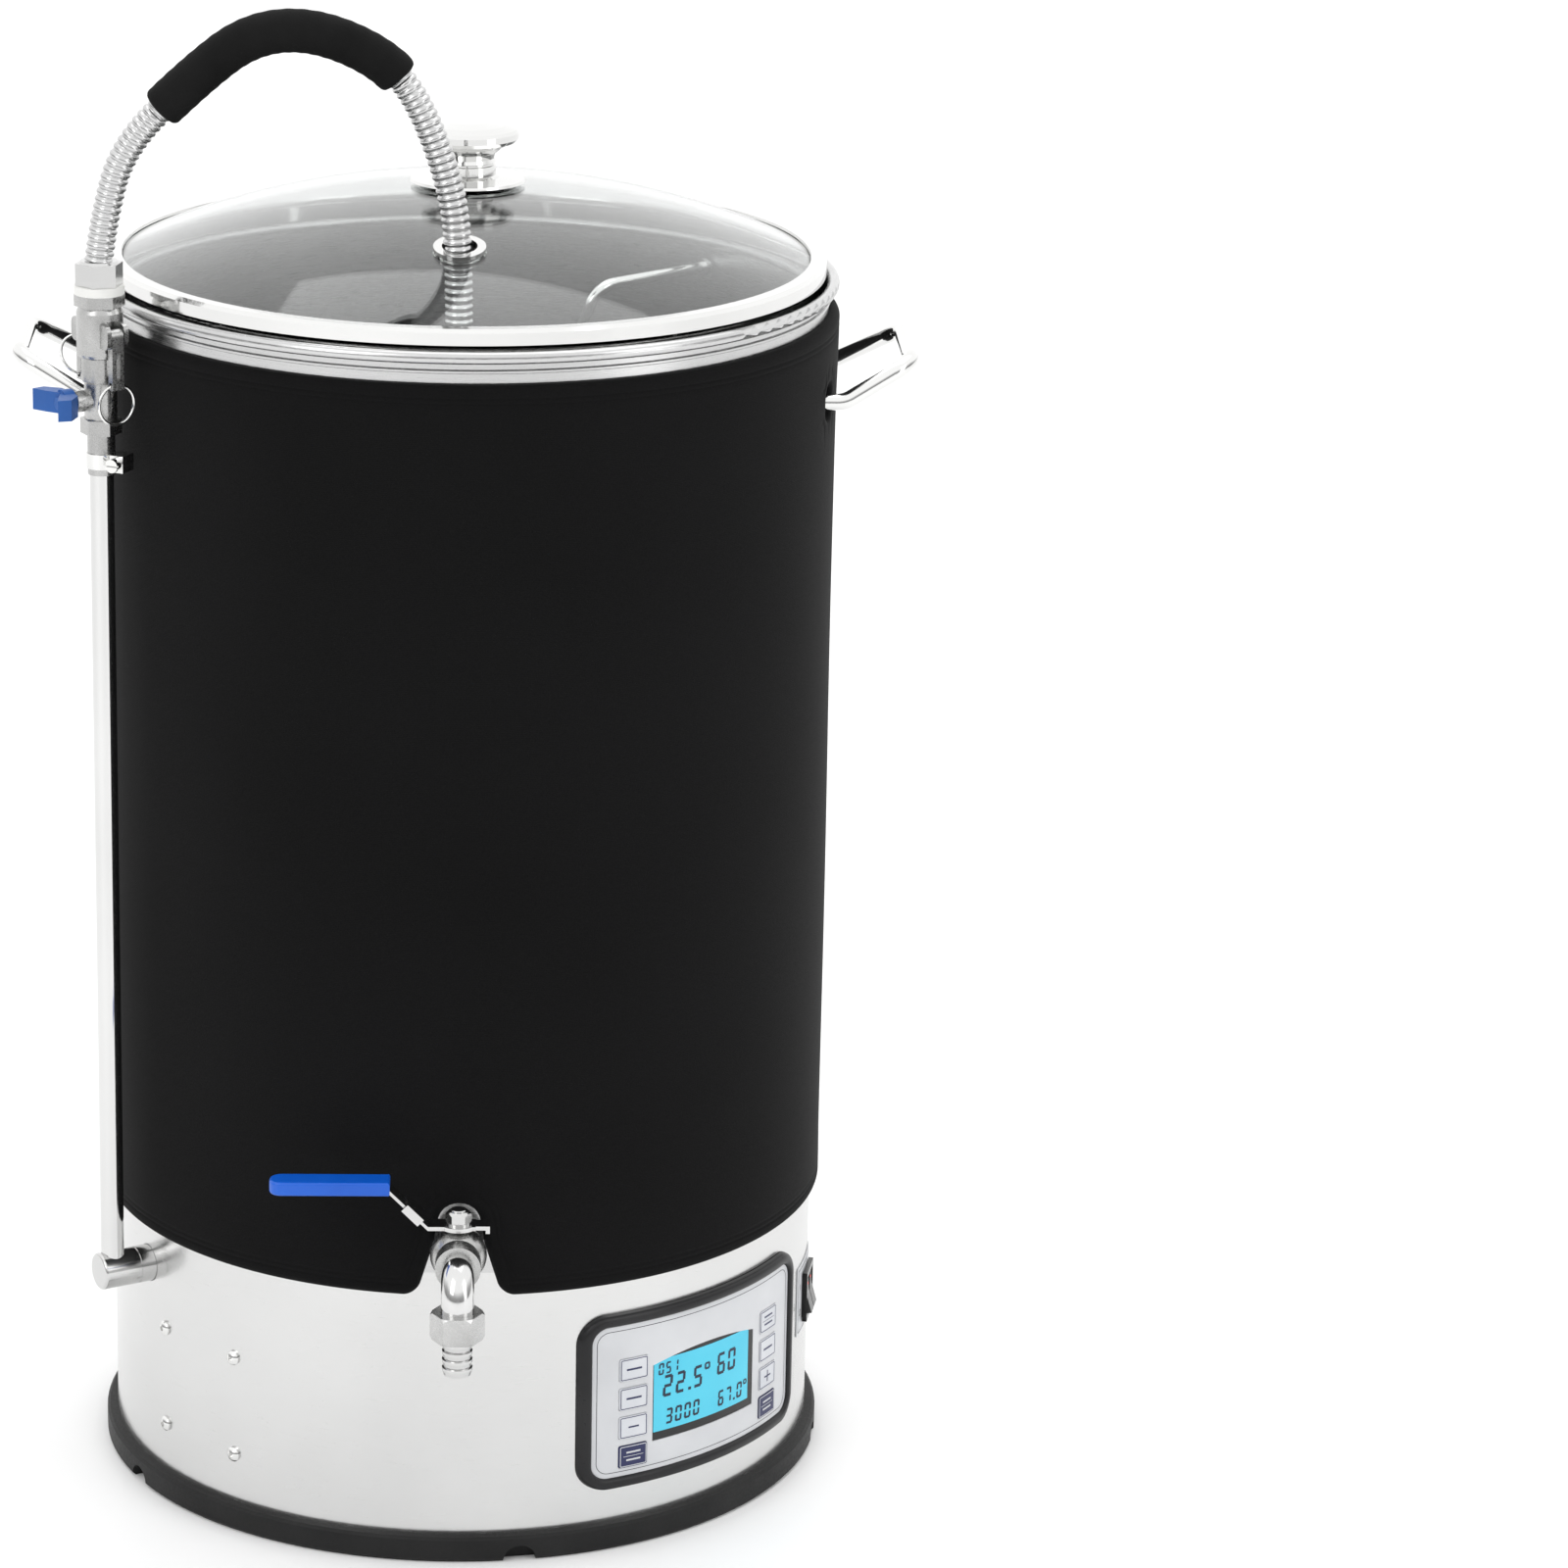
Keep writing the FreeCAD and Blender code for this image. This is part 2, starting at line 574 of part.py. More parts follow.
def insulation_jacket():
    jacket = tube(JACKET_R, KETTLE_R + SEAT, JACKET_Z[0], JACKET_Z[1])
    jacket = jacket.cut(at_azimuth(jacket_notch(), TAP_AZ))
    for side in (-1, 1):
        for y in (-HANDLE_LEG_Y, HANDLE_LEG_Y):
            start = Vec(side * 150, y, HANDLE_Z)
            hole = Part.makeCylinder(HANDLE_ROD + 1.5, 80, start, Vec(side, 0, 0))
            jacket = jacket.cut(hole)
    return jacket


def side_handle(side):
    bar = [(side * 180, -HANDLE_LEG_Y, HANDLE_Z), (side * 202, -HANDLE_LEG_Y, HANDLE_Z),
           (side * HANDLE_OUT, -HANDLE_BAR_Y, HANDLE_Z + HANDLE_RISE),
           (side * HANDLE_OUT, HANDLE_BAR_Y, HANDLE_Z + HANDLE_RISE),
           (side * 202, HANDLE_LEG_Y, HANDLE_Z), (side * 180, HANDLE_LEG_Y, HANDLE_Z)]
    rod = bent_bar(fillet_route(bar, HANDLE_BEND), HANDLE_ROD)
    return rod.cut(cylinder(KETTLE_R, HANDLE_Z - 30, HANDLE_Z + 60))


# ---- drain tap, built at the front ----
def tap_body():
    body = outward(10.3, 186, 202, TAP_Z)
    body = body.fuse(Part.makeSphere(15.0, Vec(0, -TAP_STEM, TAP_Z)))
    body = body.fuse(outward(13.0, 201, 215, TAP_Z)).fuse(outward(12.0, 235, TAP_BODY_END, TAP_Z))
    body = body.fuse(cylinder(8.0, TAP_Z + 8, 199.6, 0, -TAP_STEM))
    wedge = outward(11.2, 190, 202, TAP_Z)
    body = body.fuse(wedge.cut(cylinder(KETTLE_R + SEAT, TAP_Z - 30, TAP_Z + 30)))
    body = body.cut(Part.makeSphere(10.6, Vec(0, -TAP_STEM, TAP_Z)))
    body = body.cut(outward(TAP_BORE, 180, 260, TAP_Z))
    body = body.cut(cylinder(4.0 + FIT, TAP_Z, 205, 0, -TAP_STEM))
    nut = hexagon(27, 0, 6)
    nut.rotate(ORIGIN, AXIS_X, 90)
    nut = moved(nut, 0, -KETTLE_R + WALL + 8.4, TAP_Z).cut(outward(10.3, 170, 200, TAP_Z))
    return at_azimuth(body.fuse(nut), TAP_AZ)


def tap_elbow():
    centre = TAP_BODY_END + TAP_BEND
    route = [(0, -TAP_BODY_END, TAP_Z), (0, -centre, TAP_Z), (0, -centre, 162)]
    elbow = bent_bar(fillet_route(route, TAP_BEND - 0.01), TAP_PIPE_R, TAP_BORE)
    return at_azimuth(elbow, TAP_AZ)


def at_outlet(shape):
    return at_azimuth(moved(shape, 0, -TAP_BODY_END - TAP_BEND, 0), TAP_AZ)


def tap_union_nut():
    nut = hexagon(25, NUT_Z[0], NUT_Z[1])
    cone = turned([(0, NUT_Z[0] - 1), (12.6, NUT_Z[0] - 1), (14.6, NUT_Z[0] + 2), (14.6, NUT_Z[1] - 2),
                   (12.6, NUT_Z[1] + 1), (0, NUT_Z[1] + 1)])
    hollow = turned([(0, NUT_Z[0]), (8.3, NUT_Z[0]), (8.3, 158.6), (10.2, 158.6), (10.2, 162.2),
                     (TAP_PIPE_R + 0.05, 162.2), (TAP_PIPE_R + 0.05, NUT_Z[1]), (0, NUT_Z[1])])
    return at_outlet(nut.common(cone).cut(hollow))


def tap_barb():
    profile = [(5.8, 162), (10.0, 162), (10.0, 158.8), (7.2, 158.8), (7.2, 153.5)]
    for k in range(4):
        top = 153.5 - 4.6 * k
        profile += [(BARB_R, top - 0.2), (BARB_R, top - 1.6), (7.2, top - 4.4)]
    profile += [(6.6, BARB_END), (5.8, BARB_END)]
    return at_outlet(turned(profile))


def at_stem(shape):
    return at_azimuth(moved(shape, 0, -TAP_STEM, 0), TAP_AZ)


def tap_ball_stem():
    ball = Part.makeSphere(10.3, Vec(0, 0, TAP_Z))
    ball = ball.cut(Part.makeCylinder(TAP_BORE, 30, Vec(-15, 0, TAP_Z), AXIS_X))
    stem = cylinder(4.0, TAP_Z + 8, LEVER_Z + LEVER_T + 8)
    washer = cylinder(6.4, LEVER_Z + LEVER_T, LEVER_Z + LEVER_T + 1)
    nut = hexagon(12, LEVER_Z + LEVER_T + 1, LEVER_Z + LEVER_T + 7)
    cap = turned([(0, LEVER_Z), (5.6, LEVER_Z), (7.0, LEVER_Z + LEVER_T + 2.2),
                  (7.0, LEVER_Z + LEVER_T + 5.2), (5.2, LEVER_Z + LEVER_T + 7), (0, LEVER_Z + LEVER_T + 7)])
    return at_stem(ball.fuse(stem).fuse(washer).fuse(nut.common(cap)))


def lever_strip(width, above, below):
    """Cranked strip along -X: flat at the stem, a slope, and a flat raised end."""
    line = [(9, 0), (-16, 0), (-38, LEVER_RISE), (-96, LEVER_RISE)]
    top = [Vec(x, 0, LEVER_Z + z + above) for x, z in line]
    bottom = [Vec(x, 0, LEVER_Z + z - below) for x, z in reversed(line)]
    outline = Part.Face(Part.makePolygon(top + bottom + top[:1]))
    return moved(outline.extrude(Vec(0, width, 0)), 0, -width / 2)


def tap_lever():
    strip = lever_strip(LEVER_W, LEVER_T, 0)
    pad = cylinder(9.5, LEVER_Z, LEVER_Z + LEVER_T)
    tail = box(0, 16.5, -5, 5, LEVER_Z, LEVER_Z + LEVER_T)
    hook = box(14.3, 16.5, -5, 5, LEVER_Z - 1.9, LEVER_Z + LEVER_T)
    lever = strip.fuse(pad).fuse(tail).fuse(hook).fuse(lock_sleeve())
    return at_stem(lever.cut(cylinder(4.05, LEVER_Z - 5, LEVER_Z + LEVER_T + 1)))


def lock_sleeve():
    """Sleeve of the sliding lock, on the lever's slope."""
    rise = degrees(atan2(LEVER_RISE, 22))
    sleeve = box(-6, 6, -LEVER_W / 2 - 1.6, LEVER_W / 2 + 1.6, -1.6, LEVER_T + 1.0)
    sleeve.rotate(ORIGIN, AXIS_Y, rise)
    return moved(sleeve, -24.5, 0, LEVER_Z + 8.5)


def tap_lever_grip():
    grip = rounded_bar(-99, -36, 15.0, LEVER_Z + LEVER_RISE - 2.6, LEVER_Z + LEVER_RISE + 5.0)
    return at_stem(grip.cut(lever_strip(LEVER_W, LEVER_T, 0)))


def rounded_bar(x0, x1, width, z0, z1):
    bar = box(x0, x1, -width / 2, width / 2, z0, z1)

    def upright_far(edge):
        a = edge.Vertexes[0].Point
        b = edge.Vertexes[-1].Point
        return abs(a.x - b.x) < 1e-6 and abs(a.y - b.y) < 1e-6 and a.x < x0 + 1

    bar = round_edges(bar, width * 0.42, upright_far)
    return round_edges(bar, 1.6, lambda e: min(abs(e.CenterOfMass.z - z) for z in (z0, z1)) < 1e-6)


# ---- control panel, built at the front ----
def panel_bezel():
    width, height, corner = BEZEL
    frame = curved_slab(width, height, corner, KETTLE_R + SEAT, BEZEL_OUT, 0, PANEL_Z)
    window = rounded_slab(PLATE[0], PLATE[1], PLATE[2], 150, 220, 0, PANEL_Z)
    return at_azimuth(frame.cut(window), PANEL_AZ)


def key_places():
    return [(side * KEY_X, PANEL_Z + z) for side in (-1, 1) for z in KEY_ROWS]


def lcd_outline(grow, r0, r1):
    """Display border with a slightly arched top."""
    x, z, width, height = LCD
    left = x - width / 2 - grow
    right = x + width / 2 + grow
    low = PANEL_Z + z - height / 2 - grow
    high = PANEL_Z + z + height / 2 + grow
    corners = [(left, high - 5), (left, low), (right, low), (right, high - 5)]
    base = Part.makePolygon([Vec(x, -r0, z) for x, z in corners])
    arch = Part.Arc(Vec(right, -r0, high - 5), Vec(x, -r0, high), Vec(left, -r0, high - 5)).toShape()
    wire = Part.Wire(Part.sortEdges(base.Edges + [arch])[0])
    return Part.Face(wire).extrude(Vec(0, r0 - r1, 0))


def panel_plate():
    width, height, corner = PLATE
    plate = curved_slab(width - 0.4, height - 0.4, corner, KETTLE_R + SEAT, PLATE_OUT, 0, PANEL_Z)
    plate = plate.cut(lcd_outline(0.2, 150, 220))
    for x, z in key_places():
        plate = plate.cut(rounded_slab(KEY[0] + 0.6, KEY[1] + 0.6, 1.3, 120, 220, x, z))
    return at_azimuth(plate, PANEL_AZ)


def lcd_module():
    screen = lcd_outline(0, 150, 220).common(tube(PLATE_OUT - 0.3, KETTLE_R - 4, 20, 150))
    x, z, width, height = LCD
    foot = PANEL_Z + z - height / 2 + 2
    head = PANEL_Z + z + height / 2 - 7
    case = box(x - width / 2 + 2, x + width / 2 - 2, -188, -177, foot, head)
    neck = box(x - 30, x + 30, -193, -187, PANEL_Z + z - 15, PANEL_Z + z + 12)
    return at_azimuth(screen.fuse(case).fuse(neck), PANEL_AZ)


def panel_key(x, z):
    cap = rounded_slab(KEY[0], KEY[1], 1.0, 150, 210, x, z)
    cap = cap.common(tube(KEY_OUT, KETTLE_R - 2.5, 20, 150))
    return at_azimuth(cap, PANEL_AZ)


def control_board():
    board = box(-64, 64, -174.5, -172.9, PANEL_Z - 36, PANEL_Z + 33)
    for x, z, width, height, depth in ((-35, 8, 30, 26, 14), (12, 10, 22, 22, 18), (42, -8, 26, 30, 12),
                                       (-30, -22, 34, 12, 10), (10, -20, 14, 14, 22)):
        middle = PANEL_Z + z
        part = box(x - width / 2, x + width / 2, -173, -173 + depth, middle - height / 2, middle + height / 2)
        board = board.fuse(part)
    for x in (-58, 58):
        for z in (-32, 29):
            post = Part.makeCylinder(2.5, 7, Vec(x, -181, PANEL_Z + z), AXIS_Y)
            board = board.fuse(post)
    for x in (-10, 8):
        board = board.fuse(Part.makeCylinder(3, 5, Vec(x, -177, PANEL_Z - 4), AXIS_Y))
    return at_azimuth(board, PANEL_AZ)


# ---- twin rocker switch, built at the front ----
def rocker_housing():
    width, height = SWITCH
    low = SWITCH_Z - height / 2
    flange = box(-width / 2, width / 2, -KETTLE_R - 3.4, -KETTLE_R - 0.7, low, low + height)
    shell = box(-11, 11, -KETTLE_R - 1, -168, SWITCH_Z - 12.6, SWITCH_Z + 12.6)
    housing = flange.fuse(shell).removeSplitter()
    for x in (-5.4, 5.4):
        well = box(x - 5.1, x + 5.1, -KETTLE_R - 5, -KETTLE_R + 12, SWITCH_Z - 11.5, SWITCH_Z + 11.5)
        housing = housing.cut(well)
    return at_azimuth(housing, SWITCH_AZ)


def rocker(x):
    """Rocker with its upper end pressed in and its lower end standing out."""
    y = -KETTLE_R - 0.5
    face = [(y - 3.8, -10.6), (y - 2.6, 0), (y - 3.8, 10.6)]
    back = [(y + 1.5, 10.8), (y + 7, 3), (y + 7, -3), (y + 1.5, -10.8)]
    profile = face + back
    corners = [Vec(x - 4.8, py, SWITCH_Z + pz) for py, pz in profile]
    block = Part.Face(Part.makePolygon(corners + corners[:1])).extrude(Vec(9.6, 0, 0))
    block.rotate(Vec(x, y, SWITCH_Z), AXIS_X, -ROCKER_TILT)
    return at_azimuth(block, SWITCH_AZ)


def rocker_label_plate():
    plate = curved_slab(46, 41, 1.5, KETTLE_R + SEAT, KETTLE_R + 0.6, 0, SWITCH_Z)
    opening = box(-11.6, 11.6, -220, -150, SWITCH_Z - 13.2, SWITCH_Z + 13.2)
    return at_azimuth(plate.cut(opening), SWITCH_AZ)


# ---- lid ----
def lid_glass():
    centre = Vec(0, 0, DOME_C)
    dome = Part.makeSphere(DOME_R, centre).cut(Part.makeSphere(DOME_R - GLASS_T, centre))
    glass = dome.common(cylinder(GLASS_R, 640, 740))
    glass = glass.cut(cylinder(4.5, 640, 740))
    return glass.cut(grommet_axis_bar(GROMMET_HOLE + 1.7))


def grommet_axis_bar(radius):
    """Round bar through the hose hole, square to the dome."""
    foot = Vec(GROMMET[0], GROMMET[1], dome_z(sqrt(GROMMET[0] ** 2 + GROMMET[1] ** 2)))
    normal = (foot - Vec(0, 0, DOME_C)).normalize()
    return Part.makeCylinder(radius, 60, foot - normal * 30, normal)


def hose_grommet():
    outer = DOME_R + 2.2
    inner = DOME_R - GLASS_T - 2.2
    flange = Part.makeSphere(outer, Vec(0, 0, DOME_C)).cut(Part.makeSphere(inner, Vec(0, 0, DOME_C)))
    flange = flange.common(grommet_axis_bar(GROMMET_R))
    centre = Vec(0, 0, DOME_C)
    glass = Part.makeSphere(DOME_R + 0.05, centre).cut(Part.makeSphere(DOME_R - GLASS_T - 0.05, centre))
    groove = glass.common(grommet_axis_bar(40)).cut(grommet_axis_bar(GROMMET_HOLE + 1.6))
    return flange.cut(groove).cut(grommet_axis_bar(GROMMET_HOLE))


def lid_ring():
    z = LID_Z
    outer = [(187.6, z - 7), (189.0, z - 7), (189.0, z),
             (LID_R - 1.6, z), (LID_R, z + 1.8), (LID_R, z + LID_H - 2.0),
             (LID_R - 2.0, z + LID_H), (185.0, z + LID_H), (184.6, z + LID_H - 1.3)]
    inner = [(GLASS_R + 0.2, z + LID_H - 1.3), (GLASS_R + 0.2, z + 1.6), (187.6, z + 1.6)]
    return turned(outer + inner)


def lid_knob():
    """Steel knob with its flange, and the screw and washer that hold it from below."""
    knob = turned([
        (0, KNOB_Z), (29.0, KNOB_Z), (31.0, KNOB_Z + 0.8), (30.4, KNOB_Z + 2.2), (17.5, KNOB_Z + 3.2),
        (15.2, KNOB_Z + 4.4), (15.2, KNOB_Z + 9.6), (14.4, KNOB_Z + 10.0), (14.4, KNOB_Z + 10.8),
        (15.0, KNOB_Z + 11.2), (14.2, KNOB_Z + 13.2), (15.0, KNOB_Z + 16.0), (19.5, KNOB_Z + 19.6),
        (25.8, KNOB_Z + 22.4), (KNOB_R, KNOB_Z + 24.4), (KNOB_R, KNOB_Z + 27.6), (26.4, KNOB_Z + 29.4),
        (20.0, KNOB_TOP - 1.8), (10.0, KNOB_TOP - 0.5), (0, KNOB_TOP)])
    under = dome_z(26, GLASS_T) - 0.3
    screw = turned([(0, under - 3.6), (5.4, under - 3.6), (5.8, under - 1.2),
                    (26, under - 1.2), (26, under), (4.0, under),
                    (4.0, KNOB_Z + 0.5), (0, KNOB_Z + 0.5)])
    return knob.fuse(screw)


# ---- malt pipe ----
def malt_pipe_tube():
    wall = tube(MALT_R, MALT_R - MALT_WALL, MALT_Z[0], MALT_Z[1])
    bead = Part.makeTorus(MALT_R, MALT_BEAD, Vec(0, 0, MALT_Z[1]), UP)
    ledge = tube(MALT_R - MALT_WALL + 0.1, MALT_R - 9, MALT_Z[0], MALT_Z[0] + 1.5)
    pipe = wall.fuse(bead).fuse(ledge)
    bar = outward(MALT_ROD + FIT, -200, 200, MALT_PIVOT_Z)
    pipe = pipe.cut(at_azimuth(bar, MALT_AZ))
    for k in range(3):
        for low, hooked in ((MALT_Z[1] - 62, False), (MALT_Z[0] + 28, True)):
            pipe = pipe.fuse(at_azimuth(malt_bracket(low, hooked), MALT_AZ + 30 + 120 * k))
    return pipe


def malt_bracket(low, hooked):
    """Welded bracket: a plate on the wall and an ear or a hook that stands out from it."""
    plate = curved_slab(17, 38, 2, MALT_R - 0.1, MALT_R + 2, 0, low + 19)
    ear = box(-7, -5, -MALT_R - 7.2, -MALT_R - 1, low + 24, low + 38)
    ear = ear.fuse(box(-9, 7, -MALT_R - 7.2, -MALT_R - 5.4, low + 28, low + 38)) if hooked else ear
    return plate.fuse(ear)


def malt_pipe_screen():
    screen = cylinder(MALT_R - MALT_WALL - FIT, MALT_Z[0] + 1.5, MALT_Z[0] + 3.5)
    holes = []
    for ring in range(1, 8):
        for k in range(6 * ring):
            angle = radians(60.0 * k / ring)
            reach = 23 * ring
            holes.append(cylinder(5, MALT_Z[0], MALT_Z[0] + 5, reach * cos(angle), reach * sin(angle)))
    screen = screen.cut(Part.makeCompound(holes))
    for k in range(3):
        foot = cylinder(5, FLOOR_Z + FLOOR_T + 0.2, MALT_Z[0] + 2, 0, -126.5)
        screen = screen.fuse(at_azimuth(foot, 60 + 120 * k))
    return screen


def malt_pipe_handle():
    """Bail of bent rod, hanging inside, with flattened ends outside the wall."""
    end = MALT_R + 4.5
    side = sin(radians(MALT_HANG)) * MALT_LEG
    low = MALT_PIVOT_Z - cos(radians(MALT_HANG)) * MALT_LEG
    route = [(0, -end, MALT_PIVOT_Z), (0, -MALT_LEG_AT, MALT_PIVOT_Z), (side, -MALT_LEG_AT + 6, low),
             (side, MALT_LEG_AT - 6, low), (0, MALT_LEG_AT, MALT_PIVOT_Z), (0, end, MALT_PIVOT_Z)]
    bail = bent_bar(fillet_route(route, 14), MALT_ROD)
    for sign in (-1, 1):
        tip = box(-6, 6, -1.4, 1.4, MALT_PIVOT_Z - 3, MALT_PIVOT_Z + 3)
        bail = bail.fuse(moved(tip, 0, sign * (end - 1.4)))
        collar = Part.makeCylinder(5.2, 3, Vec(0, sign * (MALT_R - 4.5) - 1.5, MALT_PIVOT_Z), AXIS_Y)
        bail = bail.fuse(collar)
    return at_azimuth(bail, MALT_AZ)


NODES = {
    "foot_ring": foot_ring,
    "base_pan": base_pan,
    "base_skirt": base_skirt,
    "skirt_screws": skirt_screws,
    "heat_plate": heat_plate,
    "heating_element": heating_element,
    "power_inlet": power_inlet,
    "pump_head": pump_head,
    "pump_motor": pump_motor,
    "pump_impeller": pump_impeller,
    "pump_inlet_tube": pump_inlet_tube,
    "outlet_spigot": outlet_spigot,
    "riser_pipe": riser_pipe,
    "riser_clamp": riser_clamp,
    "recirc_valve_body": recirc_valve_body,
    "recirc_valve_handle": recirc_valve_handle,
    "camlock_adapter": camlock_adapter,
    "camlock_coupler": camlock_coupler,
    "coupler_washer": coupler_washer,
    "hose_nut": hose_nut,
    "cam_arm_right": lambda: cam_arm(1),
    "cam_arm_left": lambda: cam_arm(-1),
    "pull_ring_right": lambda: pull_ring(1, 0),
    "pull_ring_left": lambda: pull_ring(-1, RING_SWING),
    "recirc_hose": recirc_hose,
    "hose_grip": hose_grip,
    "kettle_vessel": kettle_vessel,
    "insulation_jacket": insulation_jacket,
    "side_handle_left": lambda: side_handle(-1),
    "side_handle_right": lambda: side_handle(1),
    "tap_body": tap_body,
    "tap_elbow": tap_elbow,
    "tap_union_nut": tap_union_nut,
    "tap_barb": tap_barb,
    "tap_ball_stem": tap_ball_stem,
    "tap_lever": tap_lever,
    "tap_lever_grip": tap_lever_grip,
    "panel_bezel": panel_bezel,
    "panel_plate": panel_plate,
    "lcd_module": lcd_module,
    "control_board": control_board,
    "rocker_housing": rocker_housing,
    "rocker_heat": lambda: rocker(-5.4),
    "rocker_pump": lambda: rocker(5.4),
    "rocker_label_plate": rocker_label_plate,
    "lid_glass": lid_glass,
    "lid_ring": lid_ring,
    "lid_knob": lid_knob,
    "hose_grommet": hose_grommet,
    "malt_pipe_tube": malt_pipe_tube,
    "malt_pipe_screen": malt_pipe_screen,
    "malt_pipe_handle": malt_pipe_handle,
}
KEY_NAMES = ["key_temp", "key_power", "key_minus", "key_manual",
             "key_start", "key_timer", "key_plus", "key_auto"]


def main():
    os.makedirs("parts", exist_ok=True)
    shapes = {name: build() for name, build in NODES.items()}
    for name, place in zip(KEY_NAMES, key_places()):
        shapes[name] = panel_key(*place)
    for name, shape in shapes.items():
        if not shape.isValid():
            print("not valid:", name)
        shape.exportStep("parts/%s.step" % name)
    print(len(shapes), "nodes")


main()
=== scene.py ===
"""Looks of the electric all-in-one brewer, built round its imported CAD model. Metres throughout."""

from math import ceil, cos, hypot, pi, radians, sin, sqrt

import bmesh
import bpy
import numpy as np
from mathutils import Matrix, Vector


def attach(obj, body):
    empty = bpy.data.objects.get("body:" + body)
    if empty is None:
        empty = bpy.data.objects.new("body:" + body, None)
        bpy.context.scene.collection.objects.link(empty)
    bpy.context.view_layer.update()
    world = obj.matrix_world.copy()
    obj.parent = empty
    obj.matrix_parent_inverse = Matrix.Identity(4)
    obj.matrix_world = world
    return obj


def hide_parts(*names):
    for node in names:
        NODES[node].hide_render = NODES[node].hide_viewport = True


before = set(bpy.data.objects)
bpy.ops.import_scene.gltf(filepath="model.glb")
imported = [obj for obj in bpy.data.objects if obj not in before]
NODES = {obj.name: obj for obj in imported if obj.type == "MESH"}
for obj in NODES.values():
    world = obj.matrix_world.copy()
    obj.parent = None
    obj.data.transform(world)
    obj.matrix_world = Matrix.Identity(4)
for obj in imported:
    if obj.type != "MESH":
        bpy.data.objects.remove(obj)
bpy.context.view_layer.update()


# ---- places shared with the CAD model ----
KETTLE_R = 0.195
JACKET_R = 0.200
JACKET_LOW = 0.153
JACKET_TOP = 0.651
TAP_AZ = radians(-0.6)
PANEL_AZ = radians(43.0)
PANEL_Z = 0.0845
PLATE = (0.151, 0.088, 0.009)  # the overlay plate's width, height and corner radius
OVERLAY_BORDER = (0.1455, 0.0825, 0.007)
OVERLAY_R = 0.1976 + 0.00006
LCD = (-0.0033, -0.0016, 0.0715, 0.0420)  # the lit screen's centre and size
LCD_FACE_R = 0.1973
KEY_NAMES = ["key_temp", "key_power", "key_minus", "key_manual",
             "key_start", "key_timer", "key_plus", "key_auto"]
NAVY_KEYS = ("key_manual", "key_auto")
KEY_ROWS = (0.0178, 0.0009, -0.0158, -0.0327)
KEY_X = 0.0517
KEY_OUTLINE = (0.0158, 0.0118, 0.0009)
KEY_PRINT_R = 0.1982 + 0.00008
PRINT = 0.00012  # how far printing stands off what it is on
SWITCH_AZ = radians(79.5)
SWITCH_Z = 0.092
SWITCH_BORDER = (0.0425, 0.0375, 0.001)
SWITCH_PRINT_R = 0.1956 + 0.0001
ROCKER_X = 0.0054
ROCKER_TILT = radians(9)
LAMP_UP = 0.0062
LAMP_R = 0.1959
HANDLE_Z = 0.608
HANDLE_LEG_Y = 0.050
HOSE_ROUTE = [
    (-0.1912, -0.1016, 0.693),
    (-0.1882, -0.1017, 0.716),
    (-0.1775, -0.1022, 0.754),
    (-0.1400, -0.1039, 0.791),
    (-0.1120, -0.1052, 0.813),
    (-0.0800, -0.1066, 0.8165),
    (-0.0440, -0.1082, 0.802),
    (-0.0250, -0.1091, 0.780),
    (-0.0085, -0.1098, 0.736),
    (-0.0040, -0.1100, 0.700),
    (-0.0040, -0.1100, 0.622),
]
HOSE_R = 0.0075
GRIP_R = 0.01125
GRIP_BORE_R = HOSE_R + 0.0003
GRIP_LIP = 0.004
CORRUGATION = 0.0040
RIB_DEPTH = 0.0011
RIB_STEPS = 10
GRIP_RUNS = (2, 6)  # the grip goes from the middle of one run of the route to the middle of another


# ---- geometry helpers ----
def around(azimuth, radius, z):
    """Point at an azimuth from the front, positive to the right seen from the tap."""
    return Vector((radius * sin(azimuth), -radius * cos(azimuth), z))


def new_piece(name, vertices, faces, smooth=True):
    mesh = bpy.data.meshes.new(name)
    mesh.from_pydata([tuple(v) for v in vertices], [], faces)
    mesh.validate()
    piece = bpy.data.objects.new(name, mesh)
    bpy.context.scene.collection.objects.link(piece)
    if smooth:
        mesh.shade_smooth()
    return piece


def grid_faces(rows, columns, wrap_columns=False, start=0):
    """Four-sided faces between rows of vertices that follow each other."""
    faces = []
    for i in range(rows - 1):
        for j in range(columns if wrap_columns else columns - 1):
            a = start + i * columns + j
            b = start + i * columns + (j + 1) % columns
            faces.append((a, b, b + columns, a + columns))
    return faces


def lathe(name, profile, centre, axis, steps):
    """Surface of revolution of (radius, height) points about an axis through a point."""
    turn = Vector((0, 0, 1)).rotation_difference(Vector(axis)).to_matrix()
    vertices = []
    for radius, height in profile:
        for k in range(steps):
            angle = 2 * pi * k / steps
            ring = Vector((radius * cos(angle), radius * sin(angle), height))
            vertices.append(turn @ ring + Vector(centre))
    return new_piece(name, vertices, grid_faces(len(profile), steps, wrap_columns=True))


def path_frames(points):
    """Tangent and two square directions at every point of a path, turned as little as possible."""
    tangents = []
    for k in range(len(points)):
        before = points[max(k - 1, 0)]
        after = points[min(k + 1, len(points) - 1)]
        tangents.append((after - before).normalized())
    side = tangents[0].orthogonal().normalized()
    frames = []
    for tangent in tangents:
        side = (side - tangent * side.dot(tangent)).normalized()
        frames.append((tangent, side, tangent.cross(side)))
    return frames


